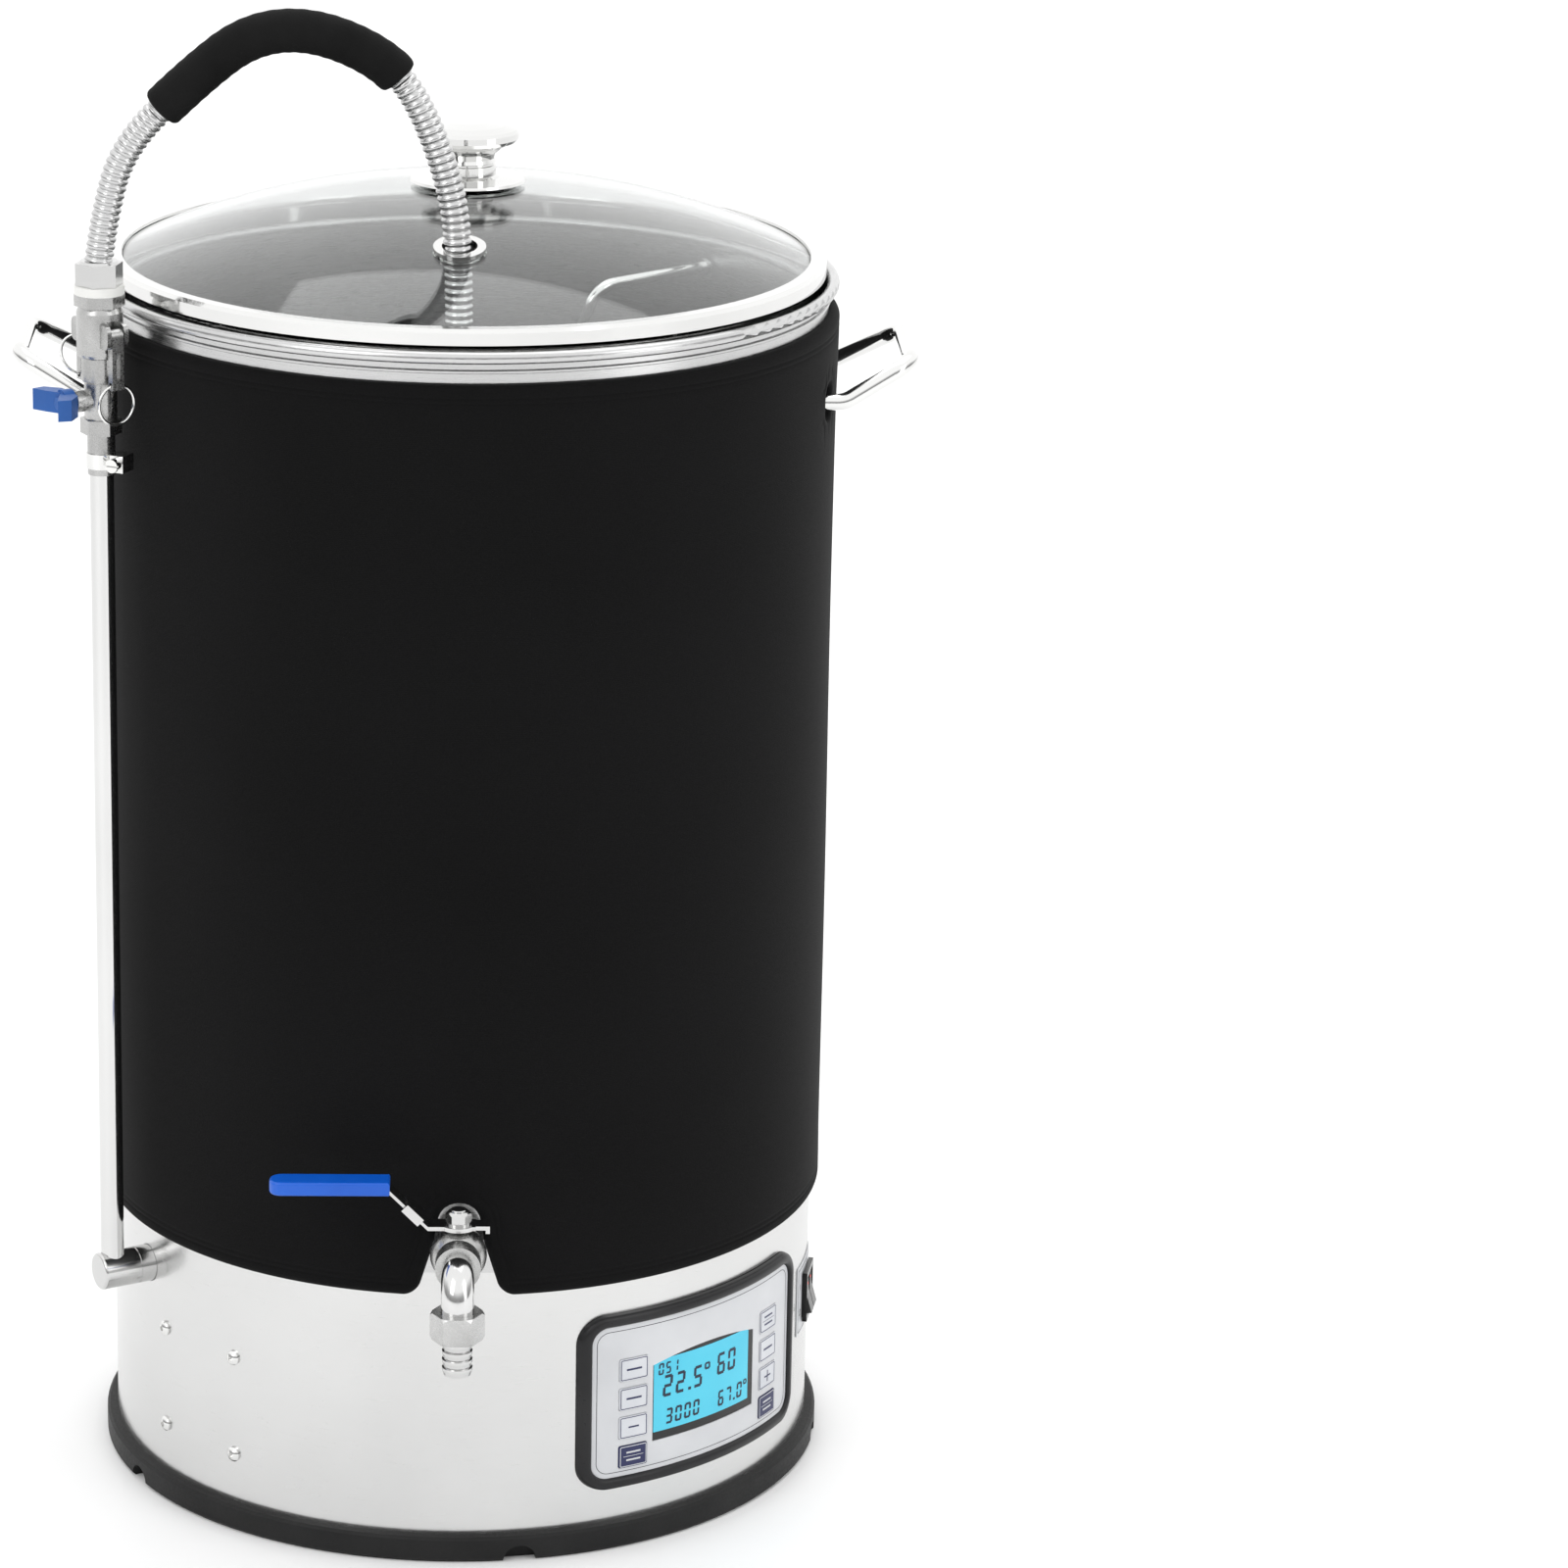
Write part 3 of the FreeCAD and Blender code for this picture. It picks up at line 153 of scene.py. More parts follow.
def tube_along(name, points, radii, steps):
    """Round closed tube through points, with its own radius at each one."""
    frames = path_frames(points)
    vertices = []
    for point, radius, (_, side, up) in zip(points, radii, frames):
        for k in range(steps):
            angle = 2 * pi * k / steps
            vertices.append(point + side * (radius * cos(angle)) + up * (radius * sin(angle)))
    faces = grid_faces(len(points), steps, wrap_columns=True)
    faces.append(tuple(reversed(range(steps))))
    faces.append(tuple(range((len(points) - 1) * steps, len(points) * steps)))
    return new_piece(name, vertices, faces)


def resample(points, step):
    """Points a fixed step apart along a fine polyline."""
    path = np.array([tuple(p) for p in points])
    lengths = np.concatenate([[0], np.cumsum(np.linalg.norm(np.diff(path, axis=0), axis=1))])
    count = max(2, int(round(lengths[-1] / step)) + 1)
    at = np.linspace(0, lengths[-1], count)
    columns = [np.interp(at, lengths, path[:, k]) for k in range(3)]
    return [Vector(p) for p in zip(*columns)], lengths[-1]


def spline_points(route):
    """Fine points of the NURBS spline that has the route as its control points."""
    curve = bpy.data.curves.new("route", "CURVE")
    curve.dimensions = "3D"
    curve.resolution_u = 24
    spline = curve.splines.new("NURBS")
    spline.points.add(len(route) - 1)
    for point, place in zip(spline.points, route):
        point.co = (*place, 1)
    spline.order_u = 3
    spline.use_endpoint_u = True
    holder = bpy.data.objects.new("route", curve)
    bpy.context.scene.collection.objects.link(holder)
    mesh = bpy.data.meshes.new_from_object(holder)
    points = [v.co.copy() for v in mesh.vertices]
    bpy.data.objects.remove(holder)
    bpy.data.meshes.remove(mesh)
    return points


# ---- materials ----
NOISE_LOW = 0.3
NOISE_HIGH = 0.7


class Nodes:
    """Small helper that adds shader nodes to a material."""

    def __init__(self, name):
        self.material = bpy.data.materials.new(name)
        self.material.use_nodes = True
        self.tree = self.material.node_tree
        self.shader = self.tree.nodes["Principled BSDF"]

    def add(self, kind, **settings):
        node = self.tree.nodes.new(kind)
        for key, value in settings.items():
            setattr(node, key, value)
        return node

    def link(self, source, target):
        self.tree.links.new(source, target)

    def set(self, **values):
        for key, value in values.items():
            self.shader.inputs[key.replace("_", " ")].default_value = value

    def noise(self, scale, detail=4.0, stretch=(1, 1, 1), rough=0.5):
        place = self.add("ShaderNodeTexCoord")
        mapping = self.add("ShaderNodeMapping")
        mapping.inputs["Scale"].default_value = stretch
        texture = self.add("ShaderNodeTexNoise")
        texture.inputs["Scale"].default_value = scale
        texture.inputs["Detail"].default_value = detail
        texture.inputs["Roughness"].default_value = rough
        self.link(place.outputs["Object"], mapping.inputs["Vector"])
        self.link(mapping.outputs["Vector"], texture.inputs["Vector"])
        return texture.outputs["Fac"]

    def ramp(self, source, low, high):
        """Colour between low and high, over the part of its range that a noise mostly fills."""
        ramp = self.add("ShaderNodeValToRGB")
        ramp.color_ramp.elements[0].position = NOISE_LOW
        ramp.color_ramp.elements[0].color = (*low, 1)
        ramp.color_ramp.elements[1].position = NOISE_HIGH
        ramp.color_ramp.elements[1].color = (*high, 1)
        self.link(source, ramp.inputs["Fac"])
        return ramp.outputs["Color"]

    def span(self, source, low, high):
        """Number between low and high, over the same part of a noise."""
        node = self.add("ShaderNodeMapRange")
        node.inputs["From Min"].default_value = NOISE_LOW
        node.inputs["From Max"].default_value = NOISE_HIGH
        node.inputs["To Min"].default_value = low
        node.inputs["To Max"].default_value = high
        self.link(source, node.inputs["Value"])
        return node.outputs["Result"]

    def bump(self, source, strength, distance):
        node = self.add("ShaderNodeBump")
        node.inputs["Strength"].default_value = strength
        node.inputs["Distance"].default_value = distance
        self.link(source, node.inputs["Height"])
        self.link(node.outputs["Normal"], self.shader.inputs["Normal"])


def steel(name, colour, rough, brushed=0.0, stretch=(1, 1, 40)):
    """Stainless steel; brushed marks run round the part when stretch squeezes them in Z."""
    m = Nodes(name)
    m.set(Metallic=1.0)
    cloud = m.noise(9, 3)
    dark = tuple(c * 0.93 for c in colour)
    m.link(m.ramp(cloud, dark, colour), m.shader.inputs["Base Color"])
    lines = m.noise(60, 6, stretch, 0.65)
    m.link(m.span(lines, rough * 0.75, rough * 1.3), m.shader.inputs["Roughness"])
    if brushed > 0:
        m.bump(lines, brushed, 0.0002)
    return m.material


def cast_steel():
    m = Nodes("cast stainless steel")
    m.set(Metallic=1.0)
    grain = m.noise(900, 3)
    m.link(m.ramp(m.noise(45, 4), (0.42, 0.42, 0.415), (0.58, 0.58, 0.575)), m.shader.inputs["Base Color"])
    m.link(m.span(grain, 0.22, 0.36), m.shader.inputs["Roughness"])
    m.bump(grain, 0.12, 0.0003)
    return m.material


def plain(name, dark, light, rough, grain_scale=700, grain=0.1, specular=0.5):
    """Moulded plastic or rubber: a fine grain, and a slow change of colour over the part."""
    m = Nodes(name)
    m.link(m.ramp(m.noise(25, 3), dark, light), m.shader.inputs["Base Color"])
    texture = m.noise(grain_scale, 3)
    m.link(m.span(texture, rough * 0.85, rough * 1.15), m.shader.inputs["Roughness"])
    m.bump(texture, grain, 0.0002)
    m.shader.inputs["Specular IOR Level"].default_value = specular
    return m.material


def neoprene():
    """Knitted face of the jacket: black, matte, with a faint sheen."""
    m = Nodes("black neoprene")
    place = m.add("ShaderNodeTexCoord")
    ribs = m.add("ShaderNodeTexWave", wave_type="BANDS", bands_direction="Z")
    ribs.inputs["Scale"].default_value = 320
    ribs.inputs["Distortion"].default_value = 3.0
    ribs.inputs["Detail"].default_value = 1.0
    ribs.inputs["Detail Scale"].default_value = 2.0
    m.link(place.outputs["Object"], ribs.inputs["Vector"])
    fuzz = m.noise(1500, 3)
    mix = m.add("ShaderNodeMath", operation="ADD")
    m.link(ribs.outputs["Fac"], mix.inputs[0])
    m.link(fuzz, mix.inputs[1])
    shade = m.ramp(m.noise(7, 4), (0.0020, 0.0020, 0.0021), (0.0034, 0.0034, 0.0036))
    m.link(shade, m.shader.inputs["Base Color"])
    m.link(m.span(fuzz, 0.72, 0.9), m.shader.inputs["Roughness"])
    m.bump(mix.outputs["Value"], 0.12, 0.0003)
    m.shader.inputs["Sheen Weight"].default_value = 0.02
    m.shader.inputs["Sheen Roughness"].default_value = 0.5
    m.shader.inputs["Specular IOR Level"].default_value = 0.12
    return m.material


def foam():
    m = Nodes("foam grip")
    cells = m.add("ShaderNodeTexVoronoi")
    cells.inputs["Scale"].default_value = 900
    place = m.add("ShaderNodeTexCoord")
    m.link(place.outputs["Object"], cells.inputs["Vector"])
    shade = m.ramp(m.noise(40, 4), (0.0025, 0.0025, 0.0025), (0.006, 0.006, 0.006))
    m.link(shade, m.shader.inputs["Base Color"])
    m.set(Roughness=0.85)
    m.shader.inputs["Specular IOR Level"].default_value = 0.2
    m.bump(cells.outputs["Distance"], 0.35, 0.0004)
    return m.material


def clear_glass():
    m = Nodes("lid glass")
    m.set(Roughness=0.015, IOR=1.5)
    m.shader.inputs["Transmission Weight"].default_value = 1.0
    m.link(m.ramp(m.noise(5, 3), (0.93, 0.955, 0.95), (0.97, 0.985, 0.98)), m.shader.inputs["Base Color"])
    m.bump(m.noise(12, 2), 0.02, 0.001)
    return m.material


def lit_screen():
    m = Nodes("lit display")
    colour = m.ramp(m.noise(14, 2), (0.045, 0.40, 0.56), (0.075, 0.48, 0.62))
    m.link(colour, m.shader.inputs["Base Color"])
    m.link(colour, m.shader.inputs["Emission Color"])
    m.shader.inputs["Emission Strength"].default_value = 0.35
    m.set(Roughness=0.25)
    return m.material


def red_lamp():
    m = Nodes("red lamp lens")
    colour = m.ramp(m.noise(300, 2), (0.7, 0.02, 0.01), (0.95, 0.06, 0.03))
    m.link(colour, m.shader.inputs["Base Color"])
    m.link(colour, m.shader.inputs["Emission Color"])
    m.shader.inputs["Emission Strength"].default_value = 1.2
    m.set(Roughness=0.2)
    return m.material


STEEL_SKIRT = steel("satin steel sheet", (0.70, 0.70, 0.695), 0.22, 0.03)
STEEL_INSIDE = steel("drawn steel sheet", (0.60, 0.60, 0.60), 0.24, 0.05)
# the malt pipe's steel is set darker than the other sheet steel: painted shade for the inside of the lidded
# kettle
STEEL_MALT_PAINTED_SHADE = steel("malt pipe sheet darkened as painted shade", (0.42, 0.42, 0.42), 0.30, 0.05)
STEEL_POLISHED = steel("polished steel", (0.80, 0.80, 0.79), 0.08, 0.0, (1, 1, 1))
STEEL_HOSE = steel("hose steel", (0.60, 0.60, 0.60), 0.24)
STEEL_BRIGHT = steel("bright steel tube", (0.71, 0.71, 0.705), 0.14, 0.02, (12, 12, 1))
STEEL_TURNED = steel("turned steel", (0.64, 0.64, 0.635), 0.17, 0.04, (1, 1, 30))
STEEL_CAST = cast_steel()
RUBBER = plain("black rubber", (0.007, 0.007, 0.007), (0.014, 0.014, 0.014), 0.55, specular=0.25)
CHARCOAL = plain("charcoal plastic", (0.010, 0.010, 0.011), (0.018, 0.018, 0.019), 0.32, 900, 0.05,
                 specular=0.3)
BLACK_GLOSS = plain("black gloss plastic", (0.006, 0.006, 0.006), (0.012, 0.012, 0.012), 0.18, 800, 0.03)
PLATE_SILVER = plain("silver overlay", (0.58, 0.59, 0.61), (0.66, 0.67, 0.69), 0.38, 1200, 0.03)
KEY_SILVER = plain("key face", (0.60, 0.62, 0.66), (0.70, 0.71, 0.74), 0.42, 1200, 0.03)
NAVY = plain("navy print", (0.012, 0.016, 0.075), (0.022, 0.026, 0.105), 0.4, 1200, 0.03)
INK = plain("dark print", (0.010, 0.012, 0.018), (0.018, 0.020, 0.028), 0.45, 1200, 0.02)
VINYL_BLUE = plain("blue vinyl", (0.0, 0.085, 0.52), (0.004, 0.115, 0.62), 0.34, 500, 0.06)
NYLON_BLUE = plain("blue nylon", (0.006, 0.075, 0.30), (0.010, 0.10, 0.38), 0.42, 700, 0.1)
SILICONE = plain("white silicone", (0.74, 0.74, 0.71), (0.82, 0.82, 0.80), 0.5, 600, 0.05)
BOARD = plain("circuit board", (0.01, 0.10, 0.03), (0.02, 0.16, 0.05), 0.4)
MOTOR = plain("motor paint", (0.05, 0.05, 0.055), (0.09, 0.09, 0.095), 0.45)
NEOPRENE = neoprene()
FOAM = foam()
GLASS = clear_glass()
SCREEN = lit_screen()
LAMP = red_lamp()
SCREEN_INK = plain("display segment", (0.004, 0.010, 0.03), (0.008, 0.018, 0.05), 0.4)

NODE_MATERIALS = {
    "foot_ring": RUBBER, "base_pan": STEEL_INSIDE, "base_skirt": STEEL_SKIRT, "skirt_screws": STEEL_POLISHED,
    "heat_plate": STEEL_INSIDE, "heating_element": STEEL_BRIGHT, "power_inlet": BLACK_GLOSS,
    "pump_head": MOTOR, "pump_motor": MOTOR, "pump_impeller": MOTOR, "pump_inlet_tube": SILICONE,
    "outlet_spigot": STEEL_TURNED, "riser_pipe": STEEL_BRIGHT, "riser_clamp": STEEL_POLISHED,
    "recirc_valve_body": STEEL_CAST, "recirc_valve_handle": NYLON_BLUE, "camlock_adapter": STEEL_CAST,
    "camlock_coupler": STEEL_CAST, "coupler_washer": SILICONE, "hose_nut": STEEL_TURNED,
    "cam_arm_right": STEEL_CAST, "cam_arm_left": STEEL_CAST, "pull_ring_right": STEEL_POLISHED,
    "pull_ring_left": STEEL_POLISHED, "recirc_hose": STEEL_BRIGHT, "hose_grip": FOAM,
    "kettle_vessel": STEEL_INSIDE, "insulation_jacket": NEOPRENE, "side_handle_left": STEEL_POLISHED,
    "side_handle_right": STEEL_POLISHED, "tap_body": STEEL_CAST, "tap_elbow": STEEL_BRIGHT,
    "tap_union_nut": STEEL_CAST, "tap_barb": STEEL_TURNED, "tap_ball_stem": STEEL_TURNED,
    "tap_lever": STEEL_TURNED, "tap_lever_grip": VINYL_BLUE, "panel_bezel": CHARCOAL,
    "panel_plate": PLATE_SILVER, "lcd_module": BLACK_GLOSS, "control_board": BOARD,
    "rocker_housing": BLACK_GLOSS, "rocker_heat": BLACK_GLOSS, "rocker_pump": BLACK_GLOSS,
    "rocker_label_plate": PLATE_SILVER, "lid_glass": GLASS, "lid_ring": STEEL_POLISHED,
    "lid_knob": STEEL_POLISHED,
    "hose_grommet": STEEL_POLISHED, "malt_pipe_tube": STEEL_MALT_PAINTED_SHADE, "malt_pipe_screen": STEEL_MALT_PAINTED_SHADE,
    "malt_pipe_handle": STEEL_POLISHED,
}


def dress_nodes():
    for name, node in NODES.items():
        material = NODE_MATERIALS.get(name)
        if name.startswith("key_"):
            material = NAVY if name in NAVY_KEYS else KEY_SILVER
        node.data.materials.clear()
        node.data.materials.append(material)


# ---- camera and light ----
def camera():
    """Long lens from the front, a little above the lid, looking down at the kettle's middle."""
    yaw, pitch, roll = radians(3.18), radians(17.16), radians(1.20)
    right = Vector((cos(yaw), -sin(yaw), 0))
    ahead = Vector((sin(yaw) * cos(pitch), cos(yaw) * cos(pitch), -sin(pitch)))
    up = Vector((sin(yaw) * sin(pitch), cos(yaw) * sin(pitch), cos(pitch)))
    across = right * cos(roll) + up * sin(roll)
    upward = up * cos(roll) - right * sin(roll)
    data = bpy.data.cameras.new("camera")
    data.sensor_width = 36
    data.lens = 137.97
    data.clip_start = 0.05
    data.clip_end = 60
    eye = bpy.data.objects.new("camera", data)
    bpy.context.scene.collection.objects.link(eye)
    columns = Matrix((across, upward, -ahead)).transposed()
    eye.matrix_world = Matrix.Translation((0, -3.177, 1.361)) @ columns.to_4x4()
    bpy.context.scene.camera = eye


def area_light(name, place, target, size, power):
    data = bpy.data.lights.new(name, "AREA")
    data.shape = "RECTANGLE"
    data.size = size[0]
    data.size_y = size[1]
    data.energy = power
    lamp = bpy.data.objects.new(name, data)
    bpy.context.scene.collection.objects.link(lamp)
    aim = (Vector(target) - Vector(place)).to_track_quat("-Z", "Y")
    lamp.matrix_world = Matrix.Translation(place) @ aim.to_matrix().to_4x4()


def stage():
    floor = new_piece("floor", [(-9, -9, 0), (9, -9, 0), (9, 9, 0), (-9, 9, 0)], [(0, 1, 2, 3)])
    m = Nodes("pale floor")
    m.link(m.ramp(m.noise(3, 2), (0.92, 0.92, 0.92), (0.94, 0.94, 0.94)), m.shader.inputs["Base Color"])
    m.set(Roughness=0.6)
    floor.data.materials.append(m.material)


def studio_sky():
    """Grey at the horizon, white overhead and at the back; the backdrop itself is plain white."""
    world = bpy.data.worlds.new("studio")
    world.use_nodes = True
    bpy.context.scene.world = world
    tree = world.node_tree
    background = tree.nodes["Background"]
    place = tree.nodes.new("ShaderNodeTexCoord")
    direction = tree.nodes.new("ShaderNodeSeparateXYZ")
    tree.links.new(place.outputs["Generated"], direction.inputs["Vector"])
    sky = tree.nodes.new("ShaderNodeValToRGB")
    stops = sky.color_ramp.elements
    stops[0].position = 0.0
    stops[0].color = (0.20, 0.20, 0.20, 1)
    stops[1].position = 0.45
    stops[1].color = (1, 1, 1, 1)
    middle = stops.new(0.22)
    middle.color = (0.42, 0.42, 0.42, 1)
    behind = tree.nodes.new("ShaderNodeMath")
    behind.operation = "MAXIMUM"
    behind.inputs[1].default_value = 0
    tree.links.new(direction.outputs["Y"], behind.inputs[0])
    brightness = tree.nodes.new("ShaderNodeMath")
    brightness.operation = "MULTIPLY_ADD"
    brightness.inputs[1].default_value = 0.5
    tree.links.new(behind.outputs["Value"], brightness.inputs[0])
    tree.links.new(direction.outputs["Z"], brightness.inputs[2])
    tree.links.new(brightness.outputs["Value"], sky.inputs["Fac"])
    background.inputs["Strength"].default_value = 1.22
    rays = tree.nodes.new("ShaderNodeLightPath")
    backdrop = tree.nodes.new("ShaderNodeMix")
    backdrop.data_type = "RGBA"
    # a Mix node's colour sockets are inputs 6 and 7, and output 2
    backdrop.inputs[7].default_value = (1, 1, 1, 1)
    tree.links.new(rays.outputs["Is Camera Ray"], backdrop.inputs["Factor"])
    tree.links.new(sky.outputs["Color"], backdrop.inputs[6])
    tree.links.new(backdrop.outputs[2], background.inputs["Color"])


def lights():
    area_light("key", (-1.7, -2.0, 1.9), (0, 0, 0.35), (1.2, 2.0), 14)
    area_light("fill", (2.1, -1.5, 1.2), (0, 0, 0.35), (1.0, 2.2), 9)
    area_light("top", (0.2, 0.6, 2.6), (0, 0, 0.5), (2.2, 1.6), 10)
    bpy.context.scene.view_settings.view_transform = "Standard"


# ---- recirculation hose ----
def nearest(path, place):
    """Index of the path's point that is closest to a place."""
    return min(range(len(path)), key=lambda k: (path[k] - place).length)


def hose_and_grip():
    fine = spline_points(HOSE_ROUTE)
    path, length = resample(fine, CORRUGATION / RIB_STEPS)
    radii = []
    for k in range(len(path)):
        wave = 0.5 + 0.5 * cos(2 * pi * k / RIB_STEPS)
        radii.append(HOSE_R - RIB_DEPTH * (1 - sqrt(wave)))
    hose = tube_along("corrugated_hose", path, radii, 36)
    hose.data.materials.append(STEEL_HOSE)
    middles = [(Vector(HOSE_ROUTE[k]) + Vector(HOSE_ROUTE[k + 1])) / 2 for k in GRIP_RUNS]
    start, end = (nearest(path, middle) for middle in middles)
    line = path[start:end + 1][::2]
    count = len(line)
    sleeve = []
    for k in range(count):
        from_end = min(k, count - 1 - k) * 2 * CORRUGATION / RIB_STEPS
        lip = min(1.0, from_end / GRIP_LIP)
        rounding = 1 - sqrt(max(0.0, 1 - (1 - lip) ** 2))
        sleeve.append(GRIP_R - (GRIP_R - GRIP_BORE_R) * rounding + 0.0001 * sin(k * 0.7))
    grip = tube_along("foam_grip", line, sleeve, 40)
    grip.data.materials.append(FOAM)
    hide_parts("recirc_hose")
    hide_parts("hose_grip")
    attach(hose, "hose")
    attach(grip, "hose")


# ---- neoprene jacket ----
def notch_outline():
    """Cut-out over the tap in the unrolled jacket: distance round the kettle, and height."""
    left = [(-0.0260, 0.140), (-0.0242, 0.150), (-0.0128, 0.186)]
    arch = [(0.0117 * cos(a), 0.194 + 0.0117 * sin(a)) for a in np.linspace(pi, 0, 15)]
    right = [(-x, z) for x, z in reversed(left)]
    return np.array(left + arch + right)


def outline_distance(points, outline):
    """Signed distance to a closed outline, positive outside it."""
    closest = np.full(len(points), 1e9)
    inside = np.zeros(len(points), bool)
    for a, b in zip(outline, np.roll(outline, -1, axis=0)):
        along = b - a
        share = np.clip(((points - a) @ along) / (along @ along), 0, 1)
        gap = points - a - share[:, None] * along
        closest = np.minimum(closest, np.hypot(gap[:, 0], gap[:, 1]))
        crosses = (a[1] > points[:, 1]) != (b[1] > points[:, 1])
        safe = np.where(abs(b[1] - a[1]) < 1e-12, 1e-12, b[1] - a[1])
        x = a[0] + (points[:, 1] - a[1]) / safe * (b[0] - a[0])
        inside ^= crosses & (points[:, 0] < x)
    return np.where(inside, -closest, closest)


def jacket_depth(points):
    """Distance of each (round, height) point from the jacket's nearest edge; negative is off it."""
    low = points[:, 1] - JACKET_LOW
    high = JACKET_TOP - points[:, 1]
    notch = outline_distance(points, notch_outline())
    corner = 0.007
    a = corner - low
    b = corner - notch
    rounded = corner - np.hypot(np.maximum(a, 0), np.maximum(b, 0))
    depth = np.where((a > 0) & (b > 0), rounded, np.minimum(low, notch))
    depth = np.minimum(depth, high)
    for side in (-1, 1):
        for leg in (-1, 1):
            centre = side * (JACKET_R * pi / 2 - leg * HANDLE_LEG_Y * 1.01)
            # a slit runs from the leg's hole to the hole above it
            dx = np.abs(points[:, 0] - (centre - TAP_AZ * JACKET_R))
            dz = np.maximum(np.abs(points[:, 1] - HANDLE_Z) - 0.003, 0)
            depth = np.minimum(depth, np.hypot(dx, dz) - 0.0058)
    return depth


def graded(spans):
    """Even steps over each (start, end, step) span, with no repeated ends."""
    values = []
    for start, end, step in spans:
        count = max(1, int(ceil((end - start) / step)))
        values.extend(np.linspace(start, end, count, endpoint=False))
    return values


def jacket():
    half = pi * JACKET_R
    quarter = half / 2
    leg = 0.06
    tap = 0.034
    rounds = graded([(-half, -quarter - leg, 0.006), (-quarter - leg, -quarter + leg, 0.0012),
                     (-quarter + leg, -tap, 0.005), (-tap, tap, 0.0008), (tap, quarter - leg, 0.005),
                     (quarter - leg, quarter + leg, 0.0012), (quarter + leg, half, 0.006)])
    heights = graded([(JACKET_LOW, 0.160, 0.0005), (0.160, 0.210, 0.0008), (0.210, 0.596, 0.008),
                      (0.596, 0.620, 0.0011), (0.620, 0.640, 0.003), (0.640, JACKET_TOP, 0.0005)])
    heights.append(JACKET_TOP)
    u, z = np.meshgrid(np.array(rounds), np.array(heights))
    points = np.stack([u.ravel(), z.ravel()], axis=1)
    depth = jacket_depth(points)
    for _ in range(4):
        # points just past an edge move onto it
        step = 1e-4
        rise = [jacket_depth(points + shift) - depth for shift in ((step, 0), (0, step))]
        slope = np.stack(rise, 1) / step
        size = np.maximum(np.hypot(slope[:, 0], slope[:, 1]), 1e-6)
        near = (depth < 0) & (depth > -0.0016)
        points = np.where(near[:, None], points - (depth / size**2)[:, None] * slope, points)
        depth = jacket_depth(points)
    on = depth > -2e-5
    depth = np.maximum(depth, 0)
    edge = 0.0042
    rise = np.sqrt(np.clip(1 - (1 - np.minimum(depth / edge, 1)) ** 2, 0, 1))
    thick = 0.0047 * rise
    for line, deep, wide in ((0.0072, 0.0005, 0.0007), (0.0100, 0.0004, 0.0006)):
        thick -= deep * np.exp(-((depth - line) / wide) ** 2)
    angle = points[:, 0] / JACKET_R + TAP_AZ
    thick += 0.0002 * np.sin(angle * 9 + points[:, 1] * 21) * rise * np.clip((depth - 0.01) / 0.02, 0, 1)
    flare = 0.0012 * np.exp(-((points[:, 1] - JACKET_TOP) / 0.035) ** 2) * (0.5 + 0.5 * np.sin(angle - 0.2))
    inner_r = KETTLE_R + 0.00012
    columns = len(rounds)
    rows = len(heights)
    outer_r = inner_r + thick + flare * rise

    def shell(radius):
        return np.stack([radius * np.sin(angle), -radius * np.cos(angle), points[:, 1]], axis=1)

    vertices = np.concatenate([shell(outer_r), shell(np.full(len(angle), inner_r))])
    faces = []
    for a, b, c, d in grid_faces(rows, columns, wrap_columns=True):
        if on[a] and on[b] and on[c] and on[d]:
            faces.append((a, b, c, d))
            faces.append(tuple(k + rows * columns for k in (d, c, b, a)))
    piece = new_piece("neoprene_jacket", vertices, faces)
    cleaner = bmesh.new()
    cleaner.from_mesh(piece.data)
    bmesh.ops.delete(cleaner, geom=[v for v in cleaner.verts if not v.link_faces], context="VERTS")
    bmesh.ops.remove_doubles(cleaner, verts=cleaner.verts, dist=2e-5)
    bmesh.ops.recalc_face_normals(cleaner, faces=cleaner.faces)
    cleaner.to_mesh(piece.data)
    cleaner.free()
    piece.data.shade_smooth()
    piece.data.materials.append(NEOPRENE)
    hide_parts("insulation_jacket")
    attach(piece, "base")


# ---- control panel ----
def rounded_loop(width, height, corner, steps=12):
    """Points of a rounded rectangle, as (x, z)."""
    half_w = width / 2 - corner
    half_h = height / 2 - corner
    points = []
    corners = ((half_w, half_h, 0), (-half_w, half_h, 90), (-half_w, -half_h, 180), (half_w, -half_h, 270))
    for cx, cz, start in corners:
        for k in range(steps + 1):
            angle = radians(start + 90 * k / steps)
            points.append((cx + corner * cos(angle), cz + corner * sin(angle)))
    fine = []
    for (x0, z0), (x1, z1) in zip(points, points[1:] + points[:1]):
        count = max(1, int(hypot(x1 - x0, z1 - z0) / 0.003))
        for k in range(count):
            fine.append((x0 + (x1 - x0) * k / count, z0 + (z1 - z0) * k / count))
    return fine


def on_panel(azimuth, centre_z, x, z, radius):
    """Point of a flat panel layout wrapped round the base, seen straight from the front of the panel."""
    depth = sqrt(radius**2 - x**2)
    across = x * cos(azimuth) + depth * sin(azimuth)
    ahead = x * sin(azimuth) - depth * cos(azimuth)
    return Vector((across, ahead, centre_z + z))


def away_from_corner(x, z, size):
    """Direction out of a rounded rectangle's corner circle, or no direction inside it."""
    width, height, corner = size
    cx = max(-width / 2 + corner, min(width / 2 - corner, x))
    cz = max(-height / 2 + corner, min(height / 2 - corner, z))
    away = Vector((x - cx, z - cz))
    return away.normalized() if away.length > 1e-9 else Vector((0, 0))


def frame_piece(name, azimuth, centre_z, size, profile):
    """Frame swept round a rounded rectangle: profile is (outward growth, radius) points."""
    vertices = []
    base = rounded_loop(*size)
    for grow, radius in profile:
        for x, z in base:
            away = away_from_corner(x, z, size) * grow
            vertices.append(on_panel(azimuth, centre_z, x + away.x, z + away.y, radius))
    return new_piece(name, vertices, grid_faces(len(profile), len(base), wrap_columns=True))


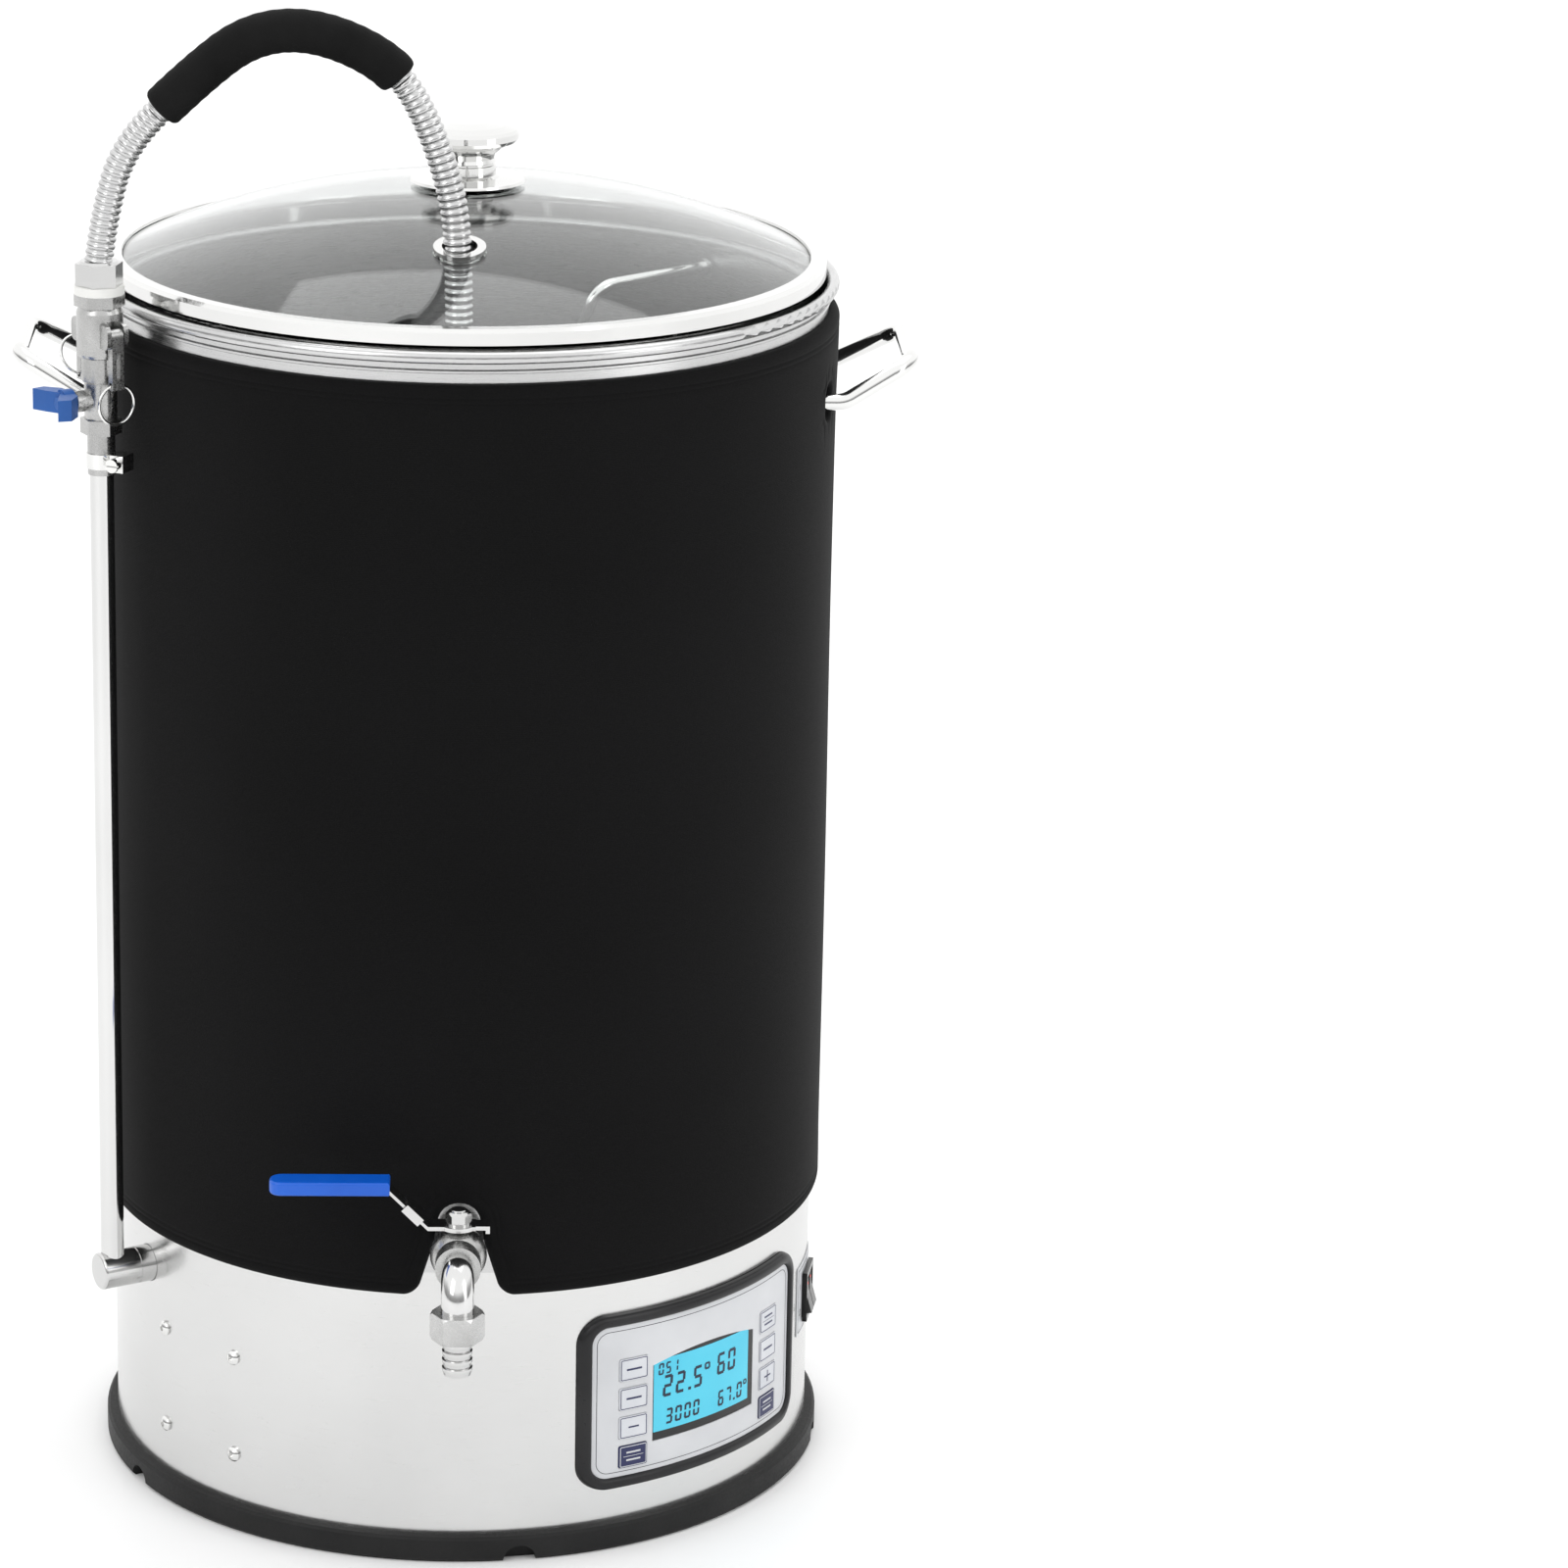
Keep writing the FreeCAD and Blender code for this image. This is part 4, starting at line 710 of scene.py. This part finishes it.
def panel_bezel():
    profile = [(0.0, 0.1960), (0.0, 0.1978), (0.0004, 0.1987), (0.0012, 0.1994), (0.0024, 0.1997),
               (0.0040, 0.1996), (0.0052, 0.1992), (0.0060, 0.1984), (0.0063, 0.1972), (0.0064, 0.1953)]
    piece = frame_piece("panel_bezel_frame", PANEL_AZ, PANEL_Z, PLATE, profile)
    piece.data.materials.append(CHARCOAL)
    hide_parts("panel_bezel")
    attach(piece, "base")


def print_loop(name, azimuth, centre, size, line, radius, material, body):
    """Thin printed outline of a rounded rectangle, wrapped round the base."""
    x0, z0 = centre
    outer = rounded_loop(*size)
    vertices = []
    for grow in (0.0, -line):
        for x, z in outer:
            away = away_from_corner(x, z, size) * grow
            vertices.append(on_panel(azimuth, z0, x0 + x + away.x, z + away.y, radius))
    piece = new_piece(name, vertices, grid_faces(2, len(outer), wrap_columns=True))
    dress(piece, material, body)


def dress(piece, material, body):
    piece.data.materials.append(material)
    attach(piece, body)


def print_marks(name, azimuth, centre_z, bars, radius, material, body):
    """Flat printed bars: each is (x, z, width, height, lean)."""
    vertices = []
    faces = []
    for x, z, width, height, lean in bars:
        columns = max(2, int(width / 0.002) + 1)
        start = len(vertices)
        for row in (-0.5, 0.5):
            for k in range(columns):
                px = x + width * (k / (columns - 1) - 0.5) + lean * row * height
                vertices.append(on_panel(azimuth, centre_z, px, z + row * height, radius))
        faces.extend(grid_faces(2, columns, start=start))
    piece = new_piece(name, vertices, faces, False)
    dress(piece, material, body)


SEGMENTS = {
    "0": "abcdef", "1": "bc", "2": "abged", "3": "abgcd", "4": "fgbc",
    "5": "afgcd", "6": "afgedc", "7": "abc", "8": "abcdefg", "9": "abcdfg",
}


def digits(text, x, z, height, line):
    """Bars of seven-segment numbers, with points and degree marks, from the left."""
    bars = []
    width = height * 0.5
    lean = 0.06
    for mark in text:
        w = width - line
        h = height / 2
        places = {
            "a": (0, h - line / 2, w, line), "g": (0, 0, w, line), "d": (0, -h + line / 2, w, line),
            "b": (w / 2, h / 2, line, h - line), "c": (w / 2, -h / 2, line, h - line),
            "f": (-w / 2, h / 2, line, h - line), "e": (-w / 2, -h / 2, line, h - line),
        }
        if mark == ".":
            bars.append((x + line / 2, z - h + line / 2, line * 1.2, line, 0))
            x += line * 2.2
            continue
        if mark == "°":
            r = height * 0.12
            thin = line * 0.7
            for side in (1, -1):
                bars.append((x + r, z + h * 0.7 + side * r, r * 2, thin, 0))
            for side in (1, -1):
                bars.append((x + r + side * r, z + h * 0.7, thin, r * 2, 0))
            x += height * 0.4
            continue
        for segment in SEGMENTS[mark]:
            dx, dz, bw, bh = places[segment]
            bars.append((x + width / 2 + dx + lean * dz, z + dz, bw, bh, lean))
        x += width + line * 1.4
    return bars


def panel_details():
    """Screen, numbers, key outlines and the overlay's border line."""
    x0, z0, width, height = LCD
    face_r = LCD_FACE_R + PRINT
    vertices = []
    columns = 30
    for row in (-0.5, 0.5):
        for k in range(columns):
            x = x0 + width * (k / (columns - 1) - 0.5)
            vertices.append(on_panel(PANEL_AZ, PANEL_Z, x, z0 + row * height, face_r))
    screen = new_piece("display_screen", vertices, grid_faces(2, columns))
    dress(screen, SCREEN, "base")
    marks = digits("051", -0.0360, 0.0135, 0.0068, 0.0010)
    marks += digits("22.5°", -0.0330, 0.0030, 0.0125, 0.0017)
    marks += digits("60", 0.0060, 0.0055, 0.0125, 0.0017)
    marks += digits("3000", -0.0310, -0.0150, 0.0090, 0.0013)
    marks += digits("67.0°", 0.0070, -0.0150, 0.0090, 0.0013)
    print_marks("display_numbers", PANEL_AZ, PANEL_Z, marks, face_r + PRINT, SCREEN_INK, "base")
    print_loop("overlay_border", PANEL_AZ, (0, PANEL_Z), OVERLAY_BORDER, 0.00035, OVERLAY_R, INK,
               "base")
    for k, name in enumerate(KEY_NAMES):
        x = KEY_X if k >= len(KEY_ROWS) else -KEY_X
        z = KEY_ROWS[k % len(KEY_ROWS)]
        dark_key = name in NAVY_KEYS
        ink = PLATE_SILVER if dark_key else NAVY
        print_loop(name + "_outline", PANEL_AZ, (x, PANEL_Z + z), KEY_OUTLINE, 0.00045, KEY_PRINT_R, ink,
                   name)
        if name == "key_minus":
            bars = [(x, z, 0.0062, 0.0009, 0)]
        elif name == "key_plus":
            bars = [(x, z, 0.0066, 0.0009, 0), (x, z, 0.0009, 0.0066, 0)]
        elif name in ("key_temp", "key_power", "key_timer"):
            bars = [(x, z, 0.0090, 0.0011, 0)]
        else:
            bars = [(x, z + 0.0022, 0.0084, 0.0010, 0), (x, z, 0.0120, 0.0003, 0),
                    (x, z - 0.0022, 0.0084, 0.0010, 0)]
        print_marks(name + "_mark", PANEL_AZ, PANEL_Z, bars, KEY_PRINT_R, ink, name)


def switch_details():
    """Lamps on the rockers, and the printed border and on/off marks of their plate."""
    normal = around(SWITCH_AZ, cos(ROCKER_TILT), sin(ROCKER_TILT))
    dome = [(0.0021, -0.002), (0.0021, 0.0012), (0.0018, 0.0017), (0.001, 0.0020), (0.00001, 0.0021)]
    for name, x in (("rocker_heat", -ROCKER_X), ("rocker_pump", ROCKER_X)):
        spot = on_panel(SWITCH_AZ, SWITCH_Z + LAMP_UP, x, 0, LAMP_R)
        lens = lathe(name + "_lamp", dome, spot, normal, 32)
        dress(lens, LAMP, name)
    print_loop("switch_border", SWITCH_AZ, (0, SWITCH_Z), SWITCH_BORDER, 0.0004, SWITCH_PRINT_R, INK,
               "base")
    marks = []
    for x in (-0.0165, 0.0165):
        marks.append((x, 0.0075, 0.0006, 0.0032, 0))
        for z in (-0.0060, -0.0090):
            marks.append((x, z, 0.0024, 0.0005, 0))
        for side in (-0.0012, 0.0012):
            marks.append((x + side, -0.0075, 0.0005, 0.0030, 0))
    print_marks("switch_marks", SWITCH_AZ, SWITCH_Z, marks, SWITCH_PRINT_R, INK, "base")


dress_nodes()
camera()
stage()
studio_sky()
lights()
hose_and_grip()
jacket()
panel_bezel()
panel_details()
switch_details()
